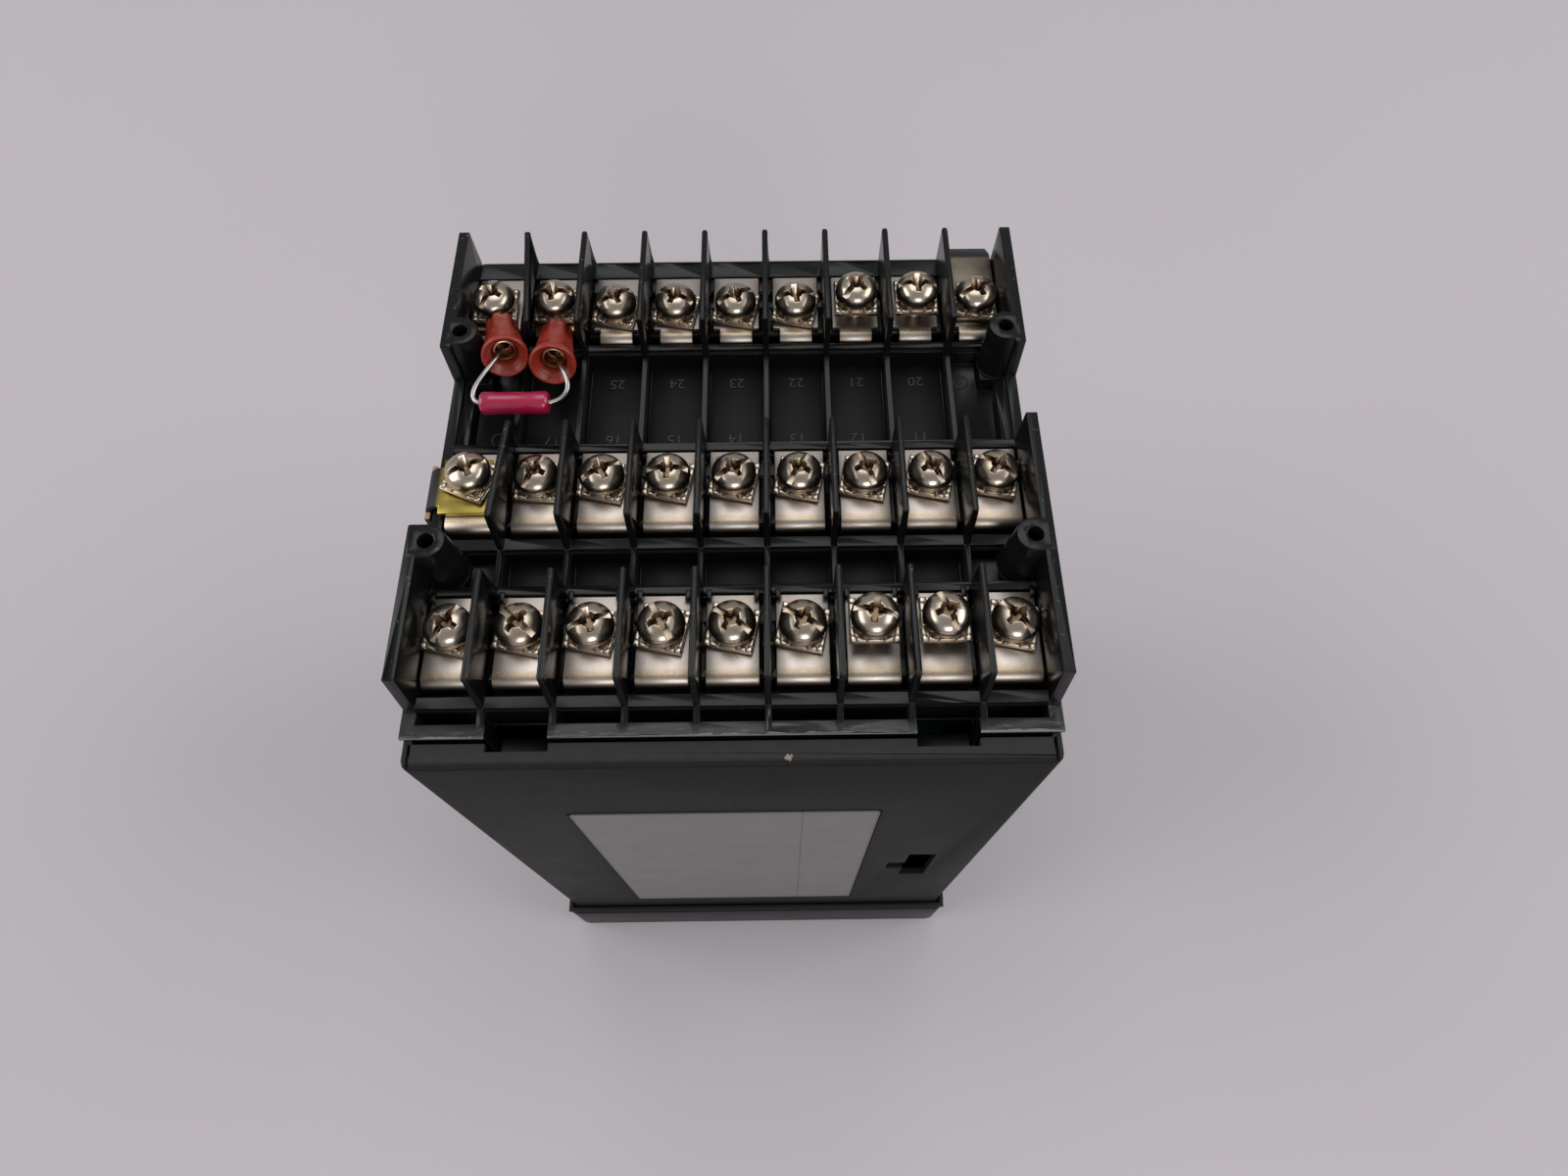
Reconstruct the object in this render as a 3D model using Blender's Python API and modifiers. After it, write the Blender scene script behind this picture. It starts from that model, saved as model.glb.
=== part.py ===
"""A quarter-DIN process controller with 27 screw terminals, standing on its front face.

+Z runs from the front bezel to the rear terminals, +X to the right and +Y away from the
side that carries the rating label. The origin is the middle of the bezel's front face.
Lengths are in metres.
"""

import math

import bmesh
import bpy
from mathutils import Matrix, Vector

MM = 0.001

# Clearances
SEAT_GAP = 0.3 * MM  # between pieces that rest on or lie against each other
SLIDE_GAP = 0.4 * MM  # between pieces that slide past each other

# Bezel and case
CASE_SIZE = 92.6 * MM  # outside of the square case, which passes a cut-out of 92 to 92.8 mm
CASE_LENGTH = 130.3 * MM  # from the bezel's rear face to the case's rear rim
CASE_WALL = 1.5 * MM
CASE_CORNER = 1.4 * MM
LIP_HEIGHT = 1.5 * MM  # inward lip at the rear rim, on the label side
BEZEL_LIP = 1.7 * MM  # how far the bezel stands out past the case on each side
BEZEL_DEPTH = 17.9 * MM
BEZEL_WALL = 5.0 * MM
BEZEL_FACE = 3.0 * MM  # thickness of the front wall
BEZEL_CORNER = 2.4 * MM
GASKET_HEIGHT = 1.5 * MM

# Front: window and keys
WINDOW_SIZE = (78.0 * MM, 40.0 * MM)
WINDOW_Y = -17.0 * MM
WINDOW_MARGIN = 2.0 * MM
WINDOW_THICKNESS = 1.4 * MM
KEY_SIZE = (12.4 * MM, 7.8 * MM)
KEY_COLUMNS = 4
KEY_PITCH_X = 18.5 * MM
KEY_ROWS_Y = (13.0 * MM, 25.0 * MM)
KEY_RECESS = 1.0 * MM  # how far the key tops lie behind the bezel's face
KEY_FLANGE = 0.8 * MM
KEY_FLANGE_THICKNESS = 1.2 * MM
KEY_STEM_Z = 6.0 * MM
KEY_TRAVEL = 0.8 * MM
SWITCH_SIZE = (5.0 * MM, 5.0 * MM)

# Chassis behind the bezel
BOARD_THICKNESS = 1.6 * MM
MODULE_THICKNESS = 2.7 * MM
FRONT_BOARD_Z = 8.0 * MM
FRAME_PLATE = 2.0 * MM
FRAME_CLEARANCE = 8.9 * MM  # from the frame's rails to the terminal block
RAIL_THICKNESS = 2.4 * MM
RAIL_HALF_DEPTH = 30.0 * MM
RAIL_GROOVE = 1.2 * MM
BOARD_Y = 20.0 * MM  # both upright boards, in front of and behind the middle
SHOULDER_CLEARANCE = 10.9 * MM  # from the boards' shoulders to the terminal block
BOARD_TONGUE = 35.0 * MM
CONNECTOR_MARGIN = 3.0 * MM
CORE_SIZE = (34.0 * MM, 24.0 * MM, 30.0 * MM)
COIL_SIZE = (24.0 * MM, 29.0 * MM, 20.0 * MM)
TRANSFORMER_Z = 60.0 * MM
SCREW_MARGIN = 5.0 * MM  # from the bezel's inner wall to the screw that holds the chassis
SCREW_RADIUS = 1.35 * MM
SCREW_HEAD = (2.9 * MM, 2.2 * MM)
SCREW_TIP_Z = 24.0 * MM
BOSS_RADIUS = 4.0 * MM
TAB_SIZE = (10.0 * MM, 3.0 * MM)

# Terminal block, heights above the case's rear rim
COLUMNS = 9
BLOCK_INSET = 0.3 * MM  # from the case's sides to the block's walls
BLOCK_WALL = 1.6 * MM
WALL_ROOT = 0.1 * MM  # how far the outer walls and the flange reach into the block's core
BLOCK_BOTTOM_RISE = -9.3 * MM
CAVITY_ROOF_RISE = -5.8 * MM
FIN_RISE = 10.5 * MM
FIN_THICKNESS = 0.9 * MM
CONTACT_RISE = 2.5 * MM
CONTACT_THICKNESS = 0.8 * MM
LEDGE_RISE = 1.9 * MM
TROUGH_RISE = -2.5 * MM
LEG_RISE = -4.3 * MM
FLANGE_THICKNESS = 0.7 * MM
BAND_WIDTH = 3.9 * MM  # from the case's label side to the flange
BACK_MARGIN = 3.5 * MM  # from the block's back face to the case's far side
ROW_SPACING = 25.0 * MM  # near row to middle row
NEAR_MARGIN = 19.1 * MM  # from the case's label side to the near row's screws
FAR_MARGIN = 14.6 * MM  # from the case's far side to the far row's screws

# The two fins beside the resistor's leads lean over: top's shift at the front and at the back
LEAN = {"far": (2.3 * MM, 0.5 * MM), "middle": (0.0, 1.4 * MM)}

# One row's section, measured from its screws
PLATE_BACK = 5.6 * MM
FAR_PLATE_BACK = 7.4 * MM
PLATE_FRONT = 8.1 * MM
TAB_FRONT = 6.0 * MM
TAB_SHOULDER = 3.6 * MM
TAB_WIDTH = 5.4 * MM
BACK_WALL = 1.5 * MM
LEG_GROOVE = (6.8 * MM, 9.3 * MM)
LEDGE_FRONT = 11.2 * MM
TAB_GROOVE = (3.8 * MM, 6.3 * MM)
TAB_LEDGE_FRONT = 7.5 * MM
FIN_BACK = 6.5 * MM
FIN_FRONT = 10.1 * MM
TAB_FIN_FRONT = 8.4 * MM
FIN_SLOPE = 1.0 * MM
SLOT_WIDTH = 1.9 * MM
SLOT_RISE = -4.7 * MM

# Terminal screws with their clamp plates
SHANK_RADIUS = 1.5 * MM
SHANK_LENGTH = 6.8 * MM
CLAMP_SIZE = (7.2 * MM, 6.6 * MM, 1.0 * MM)
WASHER = (3.0 * MM, 0.8 * MM)  # radius and thickness
HEAD_RADIUS = 3.45 * MM
HEAD_RIM = 0.5 * MM
HEAD_HEIGHT = 2.6 * MM
DRIVER_SLOT = (1.0 * MM, 1.1 * MM)
BACKED_OUT = 2.2 * MM
POCKET = 4.4 * MM
POCKET_RISE = -5.0 * MM

# Corner posts
POST_RADIUS = 2.65 * MM
POST_HOLE = 1.2 * MM
POST_HOLE_DEPTH = 8.0 * MM
NEAR_POST_Y = 10.9 * MM  # behind the near row's screws
FAR_POST_Y = 10.3 * MM  # in front of the far row's screws

# Latch windows between the block's fins, and the bracket slots in the case
LATCH_DEPTH = 1.2 * MM
BRACKET_HOLE = (32.0 * MM, 37.4 * MM, 42.0 * MM, 64.0 * MM)  # x and height limits
BRACKET_SLIT = (28.5 * MM, 49.7 * MM, 55.3 * MM)  # x limit and height limits

# Rating label
LABEL_SIZE = (51.0 * MM, 88.5 * MM, 0.2 * MM)
LABEL_MIDDLE = (-2.6 * MM, 58.0 * MM)

# Earth clips
CLIP_THICKNESS = 0.8 * MM
CLIP_WIDTH = 9.6 * MM
CLIP_LEG = 15.0 * MM
CLIP_BARB = 0.5 * MM

# Resistor across two terminals
RESISTOR_LENGTH = 10.8 * MM
RESISTOR_RADIUS = 1.8 * MM
LEAD_RADIUS = 0.39 * MM
SLEEVE_LENGTH = 10.0 * MM
SLEEVE_RADII = (2.1 * MM, 3.0 * MM, 3.6 * MM)  # at the crimp, halfway and at the mouth
SLEEVE_WALL = 0.5 * MM
SLEEVE_TILT = math.radians(18)
BARREL_RADII = (0.9 * MM, 1.35 * MM)
BARREL_TAIL = 0.9 * MM  # how far the barrel stands out behind the sleeve
TONGUE = (6.2 * MM, 0.8 * MM)

# Derived sizes
HALF = CASE_SIZE / 2
BEZEL_HALF = HALF + BEZEL_LIP
CAVITY_HALF = BEZEL_HALF - BEZEL_WALL
FRAME_HALF = CAVITY_HALF - SEAT_GAP
CASE_Z = BEZEL_DEPTH + SEAT_GAP
RIM_Z = BEZEL_DEPTH + CASE_LENGTH
BLOCK_BOTTOM = CASE_LENGTH + BLOCK_BOTTOM_RISE
CAVITY_ROOF = CASE_LENGTH + CAVITY_ROOF_RISE
FIN_TOP = CASE_LENGTH + FIN_RISE
CONTACT_TOP = CASE_LENGTH + CONTACT_RISE
LEDGE_TOP = CASE_LENGTH + LEDGE_RISE
TROUGH_FLOOR = CASE_LENGTH + TROUGH_RISE
LEG_FLOOR = CASE_LENGTH + LEG_RISE
SLOT_FLOOR = CASE_LENGTH + SLOT_RISE
POCKET_FLOOR = CASE_LENGTH + POCKET_RISE
SHANK_HOLE = SHANK_RADIUS + SLIDE_GAP
SCREW_Y = CAVITY_HALF - SCREW_MARGIN
FRAME_TOP_Z = BEZEL_DEPTH + BLOCK_BOTTOM - FRAME_CLEARANCE
BOARD_SHOULDER_Z = BEZEL_DEPTH + BLOCK_BOTTOM - SHOULDER_CLEARANCE
BLOCK_HALF = HALF - BLOCK_INSET
PITCH = (2 * BLOCK_HALF - BLOCK_WALL) / COLUMNS
CONTACT_WIDTH = PITCH - BLOCK_WALL - 2 * SLIDE_GAP
SKIRT_HALF = HALF - CASE_WALL - SLIDE_GAP
FLANGE_Z = CASE_LENGTH + SEAT_GAP
BANK_TOP = FLANGE_Z + FLANGE_THICKNESS / 2
NEAR_Y = -HALF + NEAR_MARGIN
MIDDLE_Y = NEAR_Y + ROW_SPACING
FAR_Y = HALF - FAR_MARGIN
ROWS = {"near": NEAR_Y, "middle": MIDDLE_Y, "far": FAR_Y}
BLOCK_FRONT = -HALF + BAND_WIDTH
LIP_EDGE = BLOCK_FRONT - SLIDE_GAP
LATCH_WIDTH = PITCH - FIN_THICKNESS - SEAT_GAP
BLOCK_BACK = HALF - BACK_MARGIN
CLAMP_BOTTOM = CONTACT_TOP + SEAT_GAP
COLUMN_X = [(i - (COLUMNS - 1) / 2) * PITCH for i in range(COLUMNS)]
FIN_X = [(i - COLUMNS / 2) * PITCH for i in range(1, COLUMNS)]
LATCH_X = (COLUMN_X[1], COLUMN_X[-2])
LIFTS = {
    ("near", 6): BACKED_OUT,
    ("near", 7): BACKED_OUT,
    ("far", 6): BACKED_OUT,
    ("far", 7): BACKED_OUT,
    ("far", 0): TONGUE[1] + SEAT_GAP,
    ("far", 1): TONGUE[1] + SEAT_GAP,
    ("far", 8): CLIP_THICKNESS + SEAT_GAP,
    ("middle", 0): CLIP_THICKNESS + SEAT_GAP,
}
CLAMP_TURN_USUAL = -7.0  # degrees, as the clamps of tightened screws sit
CLAMP_TURN = {
    ("near", 6): 0.0,
    ("near", 7): 0.0,
    ("middle", 0): -18.0,
    ("far", 0): 0.0,
    ("far", 1): 0.0,
    ("far", 6): 0.0,
    ("far", 7): 0.0,
}


# Scene helpers


def clear_scene():
    """Empty the file, so that only this model is in it."""
    for obj in list(bpy.data.objects):
        bpy.data.objects.remove(obj, do_unlink=True)


def make_collection(name):
    """Add a collection to the scene."""
    collection = bpy.data.collections.new(name)
    bpy.context.scene.collection.children.link(collection)
    return collection


def make_material(name, colour, roughness, metallic=0.0, alpha=1.0):
    """Make a Principled material of one colour."""
    material = bpy.data.materials.new(name)
    material.use_nodes = True
    shader = material.node_tree.nodes["Principled BSDF"]
    shader.inputs["Base Color"].default_value = (*colour, 1.0)
    shader.inputs["Roughness"].default_value = roughness
    shader.inputs["Metallic"].default_value = metallic
    shader.inputs["Alpha"].default_value = alpha
    return material


def add_object(name, data, collection, location=(0, 0, 0), rotation=(0, 0, 0)):
    """Put mesh or curve data in a collection as a named object."""
    obj = bpy.data.objects.new(name, data)
    obj.location = location
    obj.rotation_euler = rotation
    collection.objects.link(obj)
    return obj


def box_mesh(name, boxes):
    """One mesh of separate boxes, each given by its low and high corners."""
    bm = bmesh.new()
    for low, high in boxes:
        size = [b - a for a, b in zip(low, high)]
        middle = [(a + b) / 2 for a, b in zip(low, high)]
        place = Matrix.Translation(middle) @ Matrix.Diagonal((*size, 1))
        bmesh.ops.create_cube(bm, size=1.0, matrix=place)
    mesh = bpy.data.meshes.new(name)
    bm.to_mesh(mesh)
    bm.free()
    return mesh


def cylinder_mesh(name, cylinders, segments=16):
    """One mesh of separate upright cylinders: middle x and y, low and high z, radius."""
    bm = bmesh.new()
    for x, y, low, high, radius in cylinders:
        bmesh.ops.create_cone(
            bm,
            cap_ends=True,
            segments=segments,
            radius1=radius,
            radius2=radius,
            depth=high - low,
            matrix=Matrix.Translation((x, y, (low + high) / 2)),
        )
    mesh = bpy.data.meshes.new(name)
    bm.to_mesh(mesh)
    bm.free()
    return mesh


def evaluated_mesh(obj):
    """The mesh of an object with its modifiers or its curve's bevel applied."""
    graph = bpy.context.evaluated_depsgraph_get()
    return bpy.data.meshes.new_from_object(obj.evaluated_get(graph))


def outline_mesh(name, outlines, across, thickness, offsets=(0.0,)):
    """Prisms from a flat outline, repeated at offsets along their thickness.

    outlines are closed loops of (u, v) points, the first the outside and any others holes.
    across is the rotation that carries u, v and the thickness to the object's axes.
    """
    curve = bpy.data.curves.new(name, "CURVE")
    curve.dimensions = "2D"
    curve.fill_mode = "BOTH"
    curve.extrude = thickness / 2
    for points in outlines:
        spline = curve.splines.new("POLY")
        spline.points.add(len(points) - 1)
        for slot, (u, v) in zip(spline.points, points):
            slot.co = (u, v, 0, 1)
        spline.use_cyclic_u = True
    guide = add_object(name + "_outline", curve, GUIDES)
    flat = evaluated_mesh(guide)
    bpy.data.objects.remove(guide, do_unlink=True)
    bm = bmesh.new()
    for offset in offsets:
        start = len(bm.verts)
        bm.from_mesh(flat)
        bm.verts.ensure_lookup_table()
        bmesh.ops.translate(bm, verts=bm.verts[start:], vec=(0, 0, offset))
    bmesh.ops.remove_doubles(bm, verts=bm.verts, dist=0.001 * MM)
    bmesh.ops.transform(bm, matrix=across.to_4x4(), verts=bm.verts)
    bmesh.ops.recalc_face_normals(bm, faces=bm.faces)
    mesh = bpy.data.meshes.new(name)
    bm.to_mesh(mesh)
    bm.free()
    return mesh


# Rotations that carry an outline's u, v and thickness to the model's axes
SIDE_VIEW = Matrix(((0, 0, 1), (1, 0, 0), (0, 1, 0)))  # u is Y, v is Z, thickness is X
END_VIEW = Matrix(((1, 0, 0), (0, 0, -1), (0, 1, 0)))  # u is X, v is Z, thickness is Y
TOP_VIEW = Matrix.Identity(3)  # u is X, v is Y, thickness is Z


def guide_object(name, data, **place):
    """A cutter or a shape that a Boolean adds: it isn't a piece of its own."""
    obj = add_object(name, data, GUIDES, **place)
    obj.hide_render = True
    obj.display_type = "WIRE"
    return obj


def combine(target, data, operation, name, **place):
    """Cut a shape from a piece, or join it on."""
    modifier = target.modifiers.new(name, "BOOLEAN")
    modifier.operation = operation
    modifier.object = guide_object(f"{target.name}_{name}", data, **place)


def bevel_edges(mesh, width, segments, wanted):
    """Round the edges of a mesh whose two ends satisfy wanted."""
    bm = bmesh.new()
    bm.from_mesh(mesh)
    edges = [e for e in bm.edges if wanted(e.verts[0].co, e.verts[1].co)]
    bmesh.ops.bevel(
        bm, geom=edges, offset=width, segments=segments, profile=0.5, affect="EDGES", material=-1
    )
    bm.to_mesh(mesh)
    bm.free()
    return mesh


def upright(a, b):
    """Whether an edge runs along Z."""
    return abs(a.z - b.z) > max(abs(a.x - b.x), abs(a.y - b.y))


def turned(name, profile, collection, segments=16, **place):
    """A turned piece from (radius, height) points that run down its outer side."""
    bm = bmesh.new()
    verts = []
    for radius, height in profile:
        ring = len(verts) > 2 and (radius, height) == profile[0]
        verts.append(verts[0] if ring else bm.verts.new((radius, 0, height)))
    for a, b in zip(verts, verts[1:]):
        bm.edges.new((a, b))
    mesh = bpy.data.meshes.new(name)
    bm.to_mesh(mesh)
    bm.free()
    obj = add_object(name, mesh, collection, **place)
    screw = obj.modifiers.new("turn", "SCREW")
    screw.steps = segments
    screw.render_steps = segments
    screw.use_merge_vertices = True
    screw.merge_threshold = 0.0001 * MM
    return obj


def piece(name, data, material, location=(0, 0, 0), rotation=(0, 0, 0)):
    """A named piece of the product with its material."""
    obj = add_object(name, data, PRODUCT, location, rotation)
    dress(obj, material)
    return obj


def dress(obj, material):
    """Give a piece its material."""
    obj.data.materials.clear()
    obj.data.materials.append(material)


# Front


def key_places():
    """Middle x and y of each key."""
    columns = [(i - (KEY_COLUMNS - 1) / 2) * KEY_PITCH_X for i in range(KEY_COLUMNS)]
    return [(x, y) for y in KEY_ROWS_Y for x in columns]


def grown(middle, size, margin):
    """Low and high limits of a rectangle about a middle, with a margin all round."""
    x, y = middle
    return (
        (x - size[0] / 2 - margin, y - size[1] / 2 - margin),
        (x + size[0] / 2 + margin, y + size[1] / 2 + margin),
    )


def slab(middle, size, margin, low, high):
    """Corners of a flat box over a rectangle."""
    (x0, y0), (x1, y1) = grown(middle, size, margin)
    return (x0, y0, low), (x1, y1, high)


def build_bezel(material):
    """Square front frame with the window, the key openings and the screw's boss."""
    mesh = box_mesh("bezel", [((-BEZEL_HALF, -BEZEL_HALF, 0), (BEZEL_HALF, BEZEL_HALF, BEZEL_DEPTH))])
    bevel_edges(mesh, BEZEL_CORNER, 3, upright)
    bezel = piece("bezel", mesh, material)
    cavity = ((-CAVITY_HALF, -CAVITY_HALF, BEZEL_FACE), (CAVITY_HALF, CAVITY_HALF, 2 * BEZEL_DEPTH))
    combine(bezel, box_mesh("cavity", [cavity]), "DIFFERENCE", "cavity")
    through = (-BEZEL_FACE, 2 * BEZEL_FACE)
    openings = [slab((0, WINDOW_Y), WINDOW_SIZE, 0, *through)]
    openings += [slab(middle, KEY_SIZE, SEAT_GAP, *through) for middle in key_places()]
    combine(bezel, box_mesh("openings", openings), "DIFFERENCE", "openings")
    boss = cylinder_mesh("boss", [(0, SCREW_Y, BEZEL_FACE / 2, BEZEL_DEPTH, BOSS_RADIUS)])
    combine(bezel, boss, "UNION", "boss")
    bore = cylinder_mesh("bore", [(0, SCREW_Y, -BEZEL_FACE, 2 * BEZEL_DEPTH, SCREW_RADIUS + SLIDE_GAP)])
    combine(bezel, bore, "DIFFERENCE", "bore")
    radius, height = SCREW_HEAD
    counterbore = (0, SCREW_Y, -BEZEL_FACE, height + KEY_RECESS + SEAT_GAP, radius + SLIDE_GAP)
    combine(bezel, cylinder_mesh("counterbore", [counterbore]), "DIFFERENCE", "counterbore")


def square(half):
    """Corners of a square about the origin."""
    return [(-half, -half), (half, -half), (half, half), (-half, half)]


def build_gasket(material):
    """Square seal between the bezel and the panel."""
    rings = [square(BEZEL_HALF - SLIDE_GAP), square(HALF + SLIDE_GAP)]
    mesh = outline_mesh("gasket", rings, TOP_VIEW, GASKET_HEIGHT)
    piece("bezel_gasket", mesh, material, location=(0, 0, CASE_Z + GASKET_HEIGHT / 2))


def build_display(window_material, module_material):
    """Clear window behind the bezel's face, and the display behind it."""
    low = BEZEL_FACE + SEAT_GAP
    high = low + WINDOW_THICKNESS
    mesh = box_mesh("window", [slab((0, 0), WINDOW_SIZE, WINDOW_MARGIN, low, high)])
    piece("display_window", mesh, window_material, location=(0, WINDOW_Y, 0))
    low = FRONT_BOARD_Z - SEAT_GAP - MODULE_THICKNESS
    mesh = box_mesh("module", [slab((0, 0), WINDOW_SIZE, 0, low, low + MODULE_THICKNESS)])
    piece("display_module", mesh, module_material, location=(0, WINDOW_Y, 0))


def build_keys(material):
    """Keys that slide in the bezel, each with a flange behind the front wall."""
    flange_low = BEZEL_FACE + SEAT_GAP
    for number, (x, y) in enumerate(key_places(), 1):
        mesh = box_mesh("key", [slab((0, 0), KEY_SIZE, 0, KEY_RECESS, KEY_STEM_Z)])
        key = piece(f"key_{number}", mesh, material, location=(x, y, 0))
        flange = slab((0, 0), KEY_SIZE, KEY_FLANGE, flange_low, flange_low + KEY_FLANGE_THICKNESS)
        combine(key, box_mesh("flange", [flange]), "UNION", "flange", location=(x, y, 0))


def board_extent():
    """Far limit in y of the front board and the frame's plate, clear of the screw's boss."""
    return SCREW_Y - BOSS_RADIUS - SEAT_GAP


def build_front_board(material):
    """Circuit board with the display and a switch under each key."""
    top = FRONT_BOARD_Z + BOARD_THICKNESS
    board = ((-FRAME_HALF, -FRAME_HALF, FRONT_BOARD_Z), (FRAME_HALF, board_extent(), top))
    obj = piece("front_board", box_mesh("front_board", [board]), material)
    low = KEY_STEM_Z + KEY_TRAVEL + SEAT_GAP
    root = FRONT_BOARD_Z + BOARD_THICKNESS / 2
    switches = [slab(middle, SWITCH_SIZE, 0, low, root) for middle in key_places()]
    combine(obj, box_mesh("switches", switches), "UNION", "switches")


# Chassis


def build_frame(material):
    """Plate behind the front board with two grooved rails for the upright boards."""
    low = FRONT_BOARD_Z + BOARD_THICKNESS + SEAT_GAP
    high = low + FRAME_PLATE
    plate = ((-FRAME_HALF, -FRAME_HALF, low), (FRAME_HALF, board_extent(), high))
    frame = piece("chassis_frame", box_mesh("frame", [plate]), material)
    rails = []
    grooves = []
    for side in (-1, 1):
        x0, x1 = sorted((side * (FRAME_HALF - RAIL_THICKNESS), side * FRAME_HALF))
        rails.append(((x0, -RAIL_HALF_DEPTH, (low + high) / 2), (x1, RAIL_HALF_DEPTH, FRAME_TOP_Z)))
        inner = FRAME_HALF - RAIL_THICKNESS
        x0, x1 = sorted((side * (inner - RAIL_THICKNESS), side * (inner + RAIL_GROOVE)))
        half = BOARD_THICKNESS / 2 + SEAT_GAP
        for y in (-BOARD_Y, BOARD_Y):
            grooves.append(((x0, y - half, high), (x1, y + half, 2 * FRAME_TOP_Z)))
    combine(frame, box_mesh("rails", rails), "UNION", "rails")
    combine(frame, box_mesh("grooves", grooves), "DIFFERENCE", "grooves")
    return high


def build_upright_board(name, y, low, material):
    """Board that stands in the rails, with a narrower tongue for the edge connector."""
    half = FRAME_HALF - RAIL_THICKNESS + RAIL_GROOVE - SEAT_GAP
    tongue_top = BEZEL_DEPTH + BLOCK_BOTTOM
    outline = [
        (-half, low),
        (half, low),
        (half, BOARD_SHOULDER_Z),
        (BOARD_TONGUE, BOARD_SHOULDER_Z),
        (BOARD_TONGUE, tongue_top),
        (-BOARD_TONGUE, tongue_top),
        (-BOARD_TONGUE, BOARD_SHOULDER_Z),
        (-half, BOARD_SHOULDER_Z),
    ]
    piece(name, outline_mesh(name, [outline], END_VIEW, BOARD_THICKNESS), material, location=(0, y, 0))


def build_transformer(material):
    """Mains transformer on the inner face of the power board."""
    face = BOARD_Y - BOARD_THICKNESS / 2 - SEAT_GAP
    width, depth, height = CORE_SIZE
    core = ((-width / 2, face - depth, TRANSFORMER_Z), (width / 2, face, TRANSFORMER_Z + height))
    transformer = piece("transformer", box_mesh("core", [core]), material)
    width, deep, tall = COIL_SIZE
    middle = face - depth / 2
    base = TRANSFORMER_Z + (height - tall) / 2
    coil = ((-width / 2, face - deep, base), (width / 2, middle, base + tall))
    combine(transformer, box_mesh("coil", [coil]), "UNION", "coil")


def build_chassis_screw(material):
    """Long screw through the bezel that draws the chassis into the case."""
    radius, height = SCREW_HEAD
    head_low = KEY_RECESS
    profile = [
        (0, SCREW_TIP_Z),
        (SCREW_RADIUS, SCREW_TIP_Z),
        (SCREW_RADIUS, head_low + height),
        (radius, head_low + height),
        (radius, head_low),
        (0, head_low),
    ]
    dress(turned("chassis_screw", profile, PRODUCT, 12, location=(0, SCREW_Y, 0)), material)


# Case


def build_case(material):
    """Square sleeve open at both ends, with bracket slots and the chassis screw's tab."""
    mesh = box_mesh("case", [((-HALF, -HALF, CASE_Z), (HALF, HALF, RIM_Z))])
    bevel_edges(mesh, CASE_CORNER, 3, lambda a, b: upright(a, b) or a.z + b.z > 2 * RIM_Z - CASE_CORNER)
    case = piece("case_sleeve", mesh, material)
    inner = HALF - CASE_WALL
    bore = box_mesh("inside", [((-inner, -inner, 0), (inner, inner, 2 * RIM_Z))])
    combine(case, bore, "DIFFERENCE", "inside")
    root = inner + CASE_WALL / 2
    lip = ((-root, -root, RIM_Z - LIP_HEIGHT), (root, LIP_EDGE, RIM_Z))
    combine(case, box_mesh("lip", [lip]), "UNION", "lip")
    edge, half = LIP_EDGE - LATCH_DEPTH, LATCH_WIDTH / 2
    latches = [((x - half, edge, CASE_Z), (x + half, 0, 2 * RIM_Z)) for x in LATCH_X]
    combine(case, box_mesh("latches", latches), "DIFFERENCE", "latches")
    width, height = TAB_SIZE
    tab_low = CASE_Z + height / 2
    tab = ((-width / 2, SCREW_Y - BOSS_RADIUS, tab_low), (width / 2, root, tab_low + height))
    combine(case, box_mesh("tab", [tab]), "UNION", "tab")
    hole = cylinder_mesh("tab_hole", [(0, SCREW_Y, 0, 3 * tab_low, SCREW_RADIUS + SLIDE_GAP)], 12)
    combine(case, hole, "DIFFERENCE", "tab_hole")
    x0, x1, z0, z1 = BRACKET_HOLE
    x2, z2, z3 = BRACKET_SLIT
    outline = [(x0, z0), (x1, z0), (x1, z1), (x0, z1), (x0, z3), (x2, z3), (x2, z2), (x0, z2)]
    through = 2 * CASE_SIZE
    for side in (-1, 1):
        slot = outline_mesh("slot", [[(side * x, BEZEL_DEPTH + z) for x, z in outline]], END_VIEW, HALF)
        combine(case, slot, "DIFFERENCE", f"slot_{side + 1}", location=(0, side * -HALF, 0))
    width, height, _ = LABEL_SIZE
    x, z = LABEL_MIDDLE
    recess = (
        (x - width / 2 - SEAT_GAP, -through, BEZEL_DEPTH + z - height / 2 - SEAT_GAP),
        (x + width / 2 + SEAT_GAP, -HALF + SEAT_GAP, BEZEL_DEPTH + z + height / 2 + SEAT_GAP),
    )
    combine(case, box_mesh("label_recess", [recess]), "DIFFERENCE", "label_recess")


def build_label(material):
    """Bare rating label in its shallow recess."""
    width, height, thickness = LABEL_SIZE
    x, z = LABEL_MIDDLE
    mesh = box_mesh("label", [((-width / 2, -thickness, -height / 2), (width / 2, 0, height / 2))])
    piece("rating_label", mesh, material, location=(x, -HALF, BEZEL_DEPTH + z))


# Terminal block


def plate_back(kind):
    """How far a row's contacts run behind its screws."""
    return FAR_PLATE_BACK if kind == "tab" else PLATE_BACK


def row_section(y, kind):
    """Top outline of one row from its front ledge to its back wall, as (y, height) points."""
    leg = TAB_GROOVE if kind == "tab" else LEG_GROOVE
    front = TAB_LEDGE_FRONT if kind == "tab" else LEDGE_FRONT
    seat = CONTACT_TOP - CONTACT_THICKNESS - SEAT_GAP
    back = y + plate_back(kind) + SEAT_GAP
    return [
        (y - front, LEDGE_TOP),
        (y - leg[1], LEDGE_TOP),
        (y - leg[1], LEG_FLOOR),
        (y - leg[0], LEG_FLOOR),
        (y - leg[0], seat),
        (back, seat),
        (back, CONTACT_TOP),
        (back + BACK_WALL, CONTACT_TOP),
    ]


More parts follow.
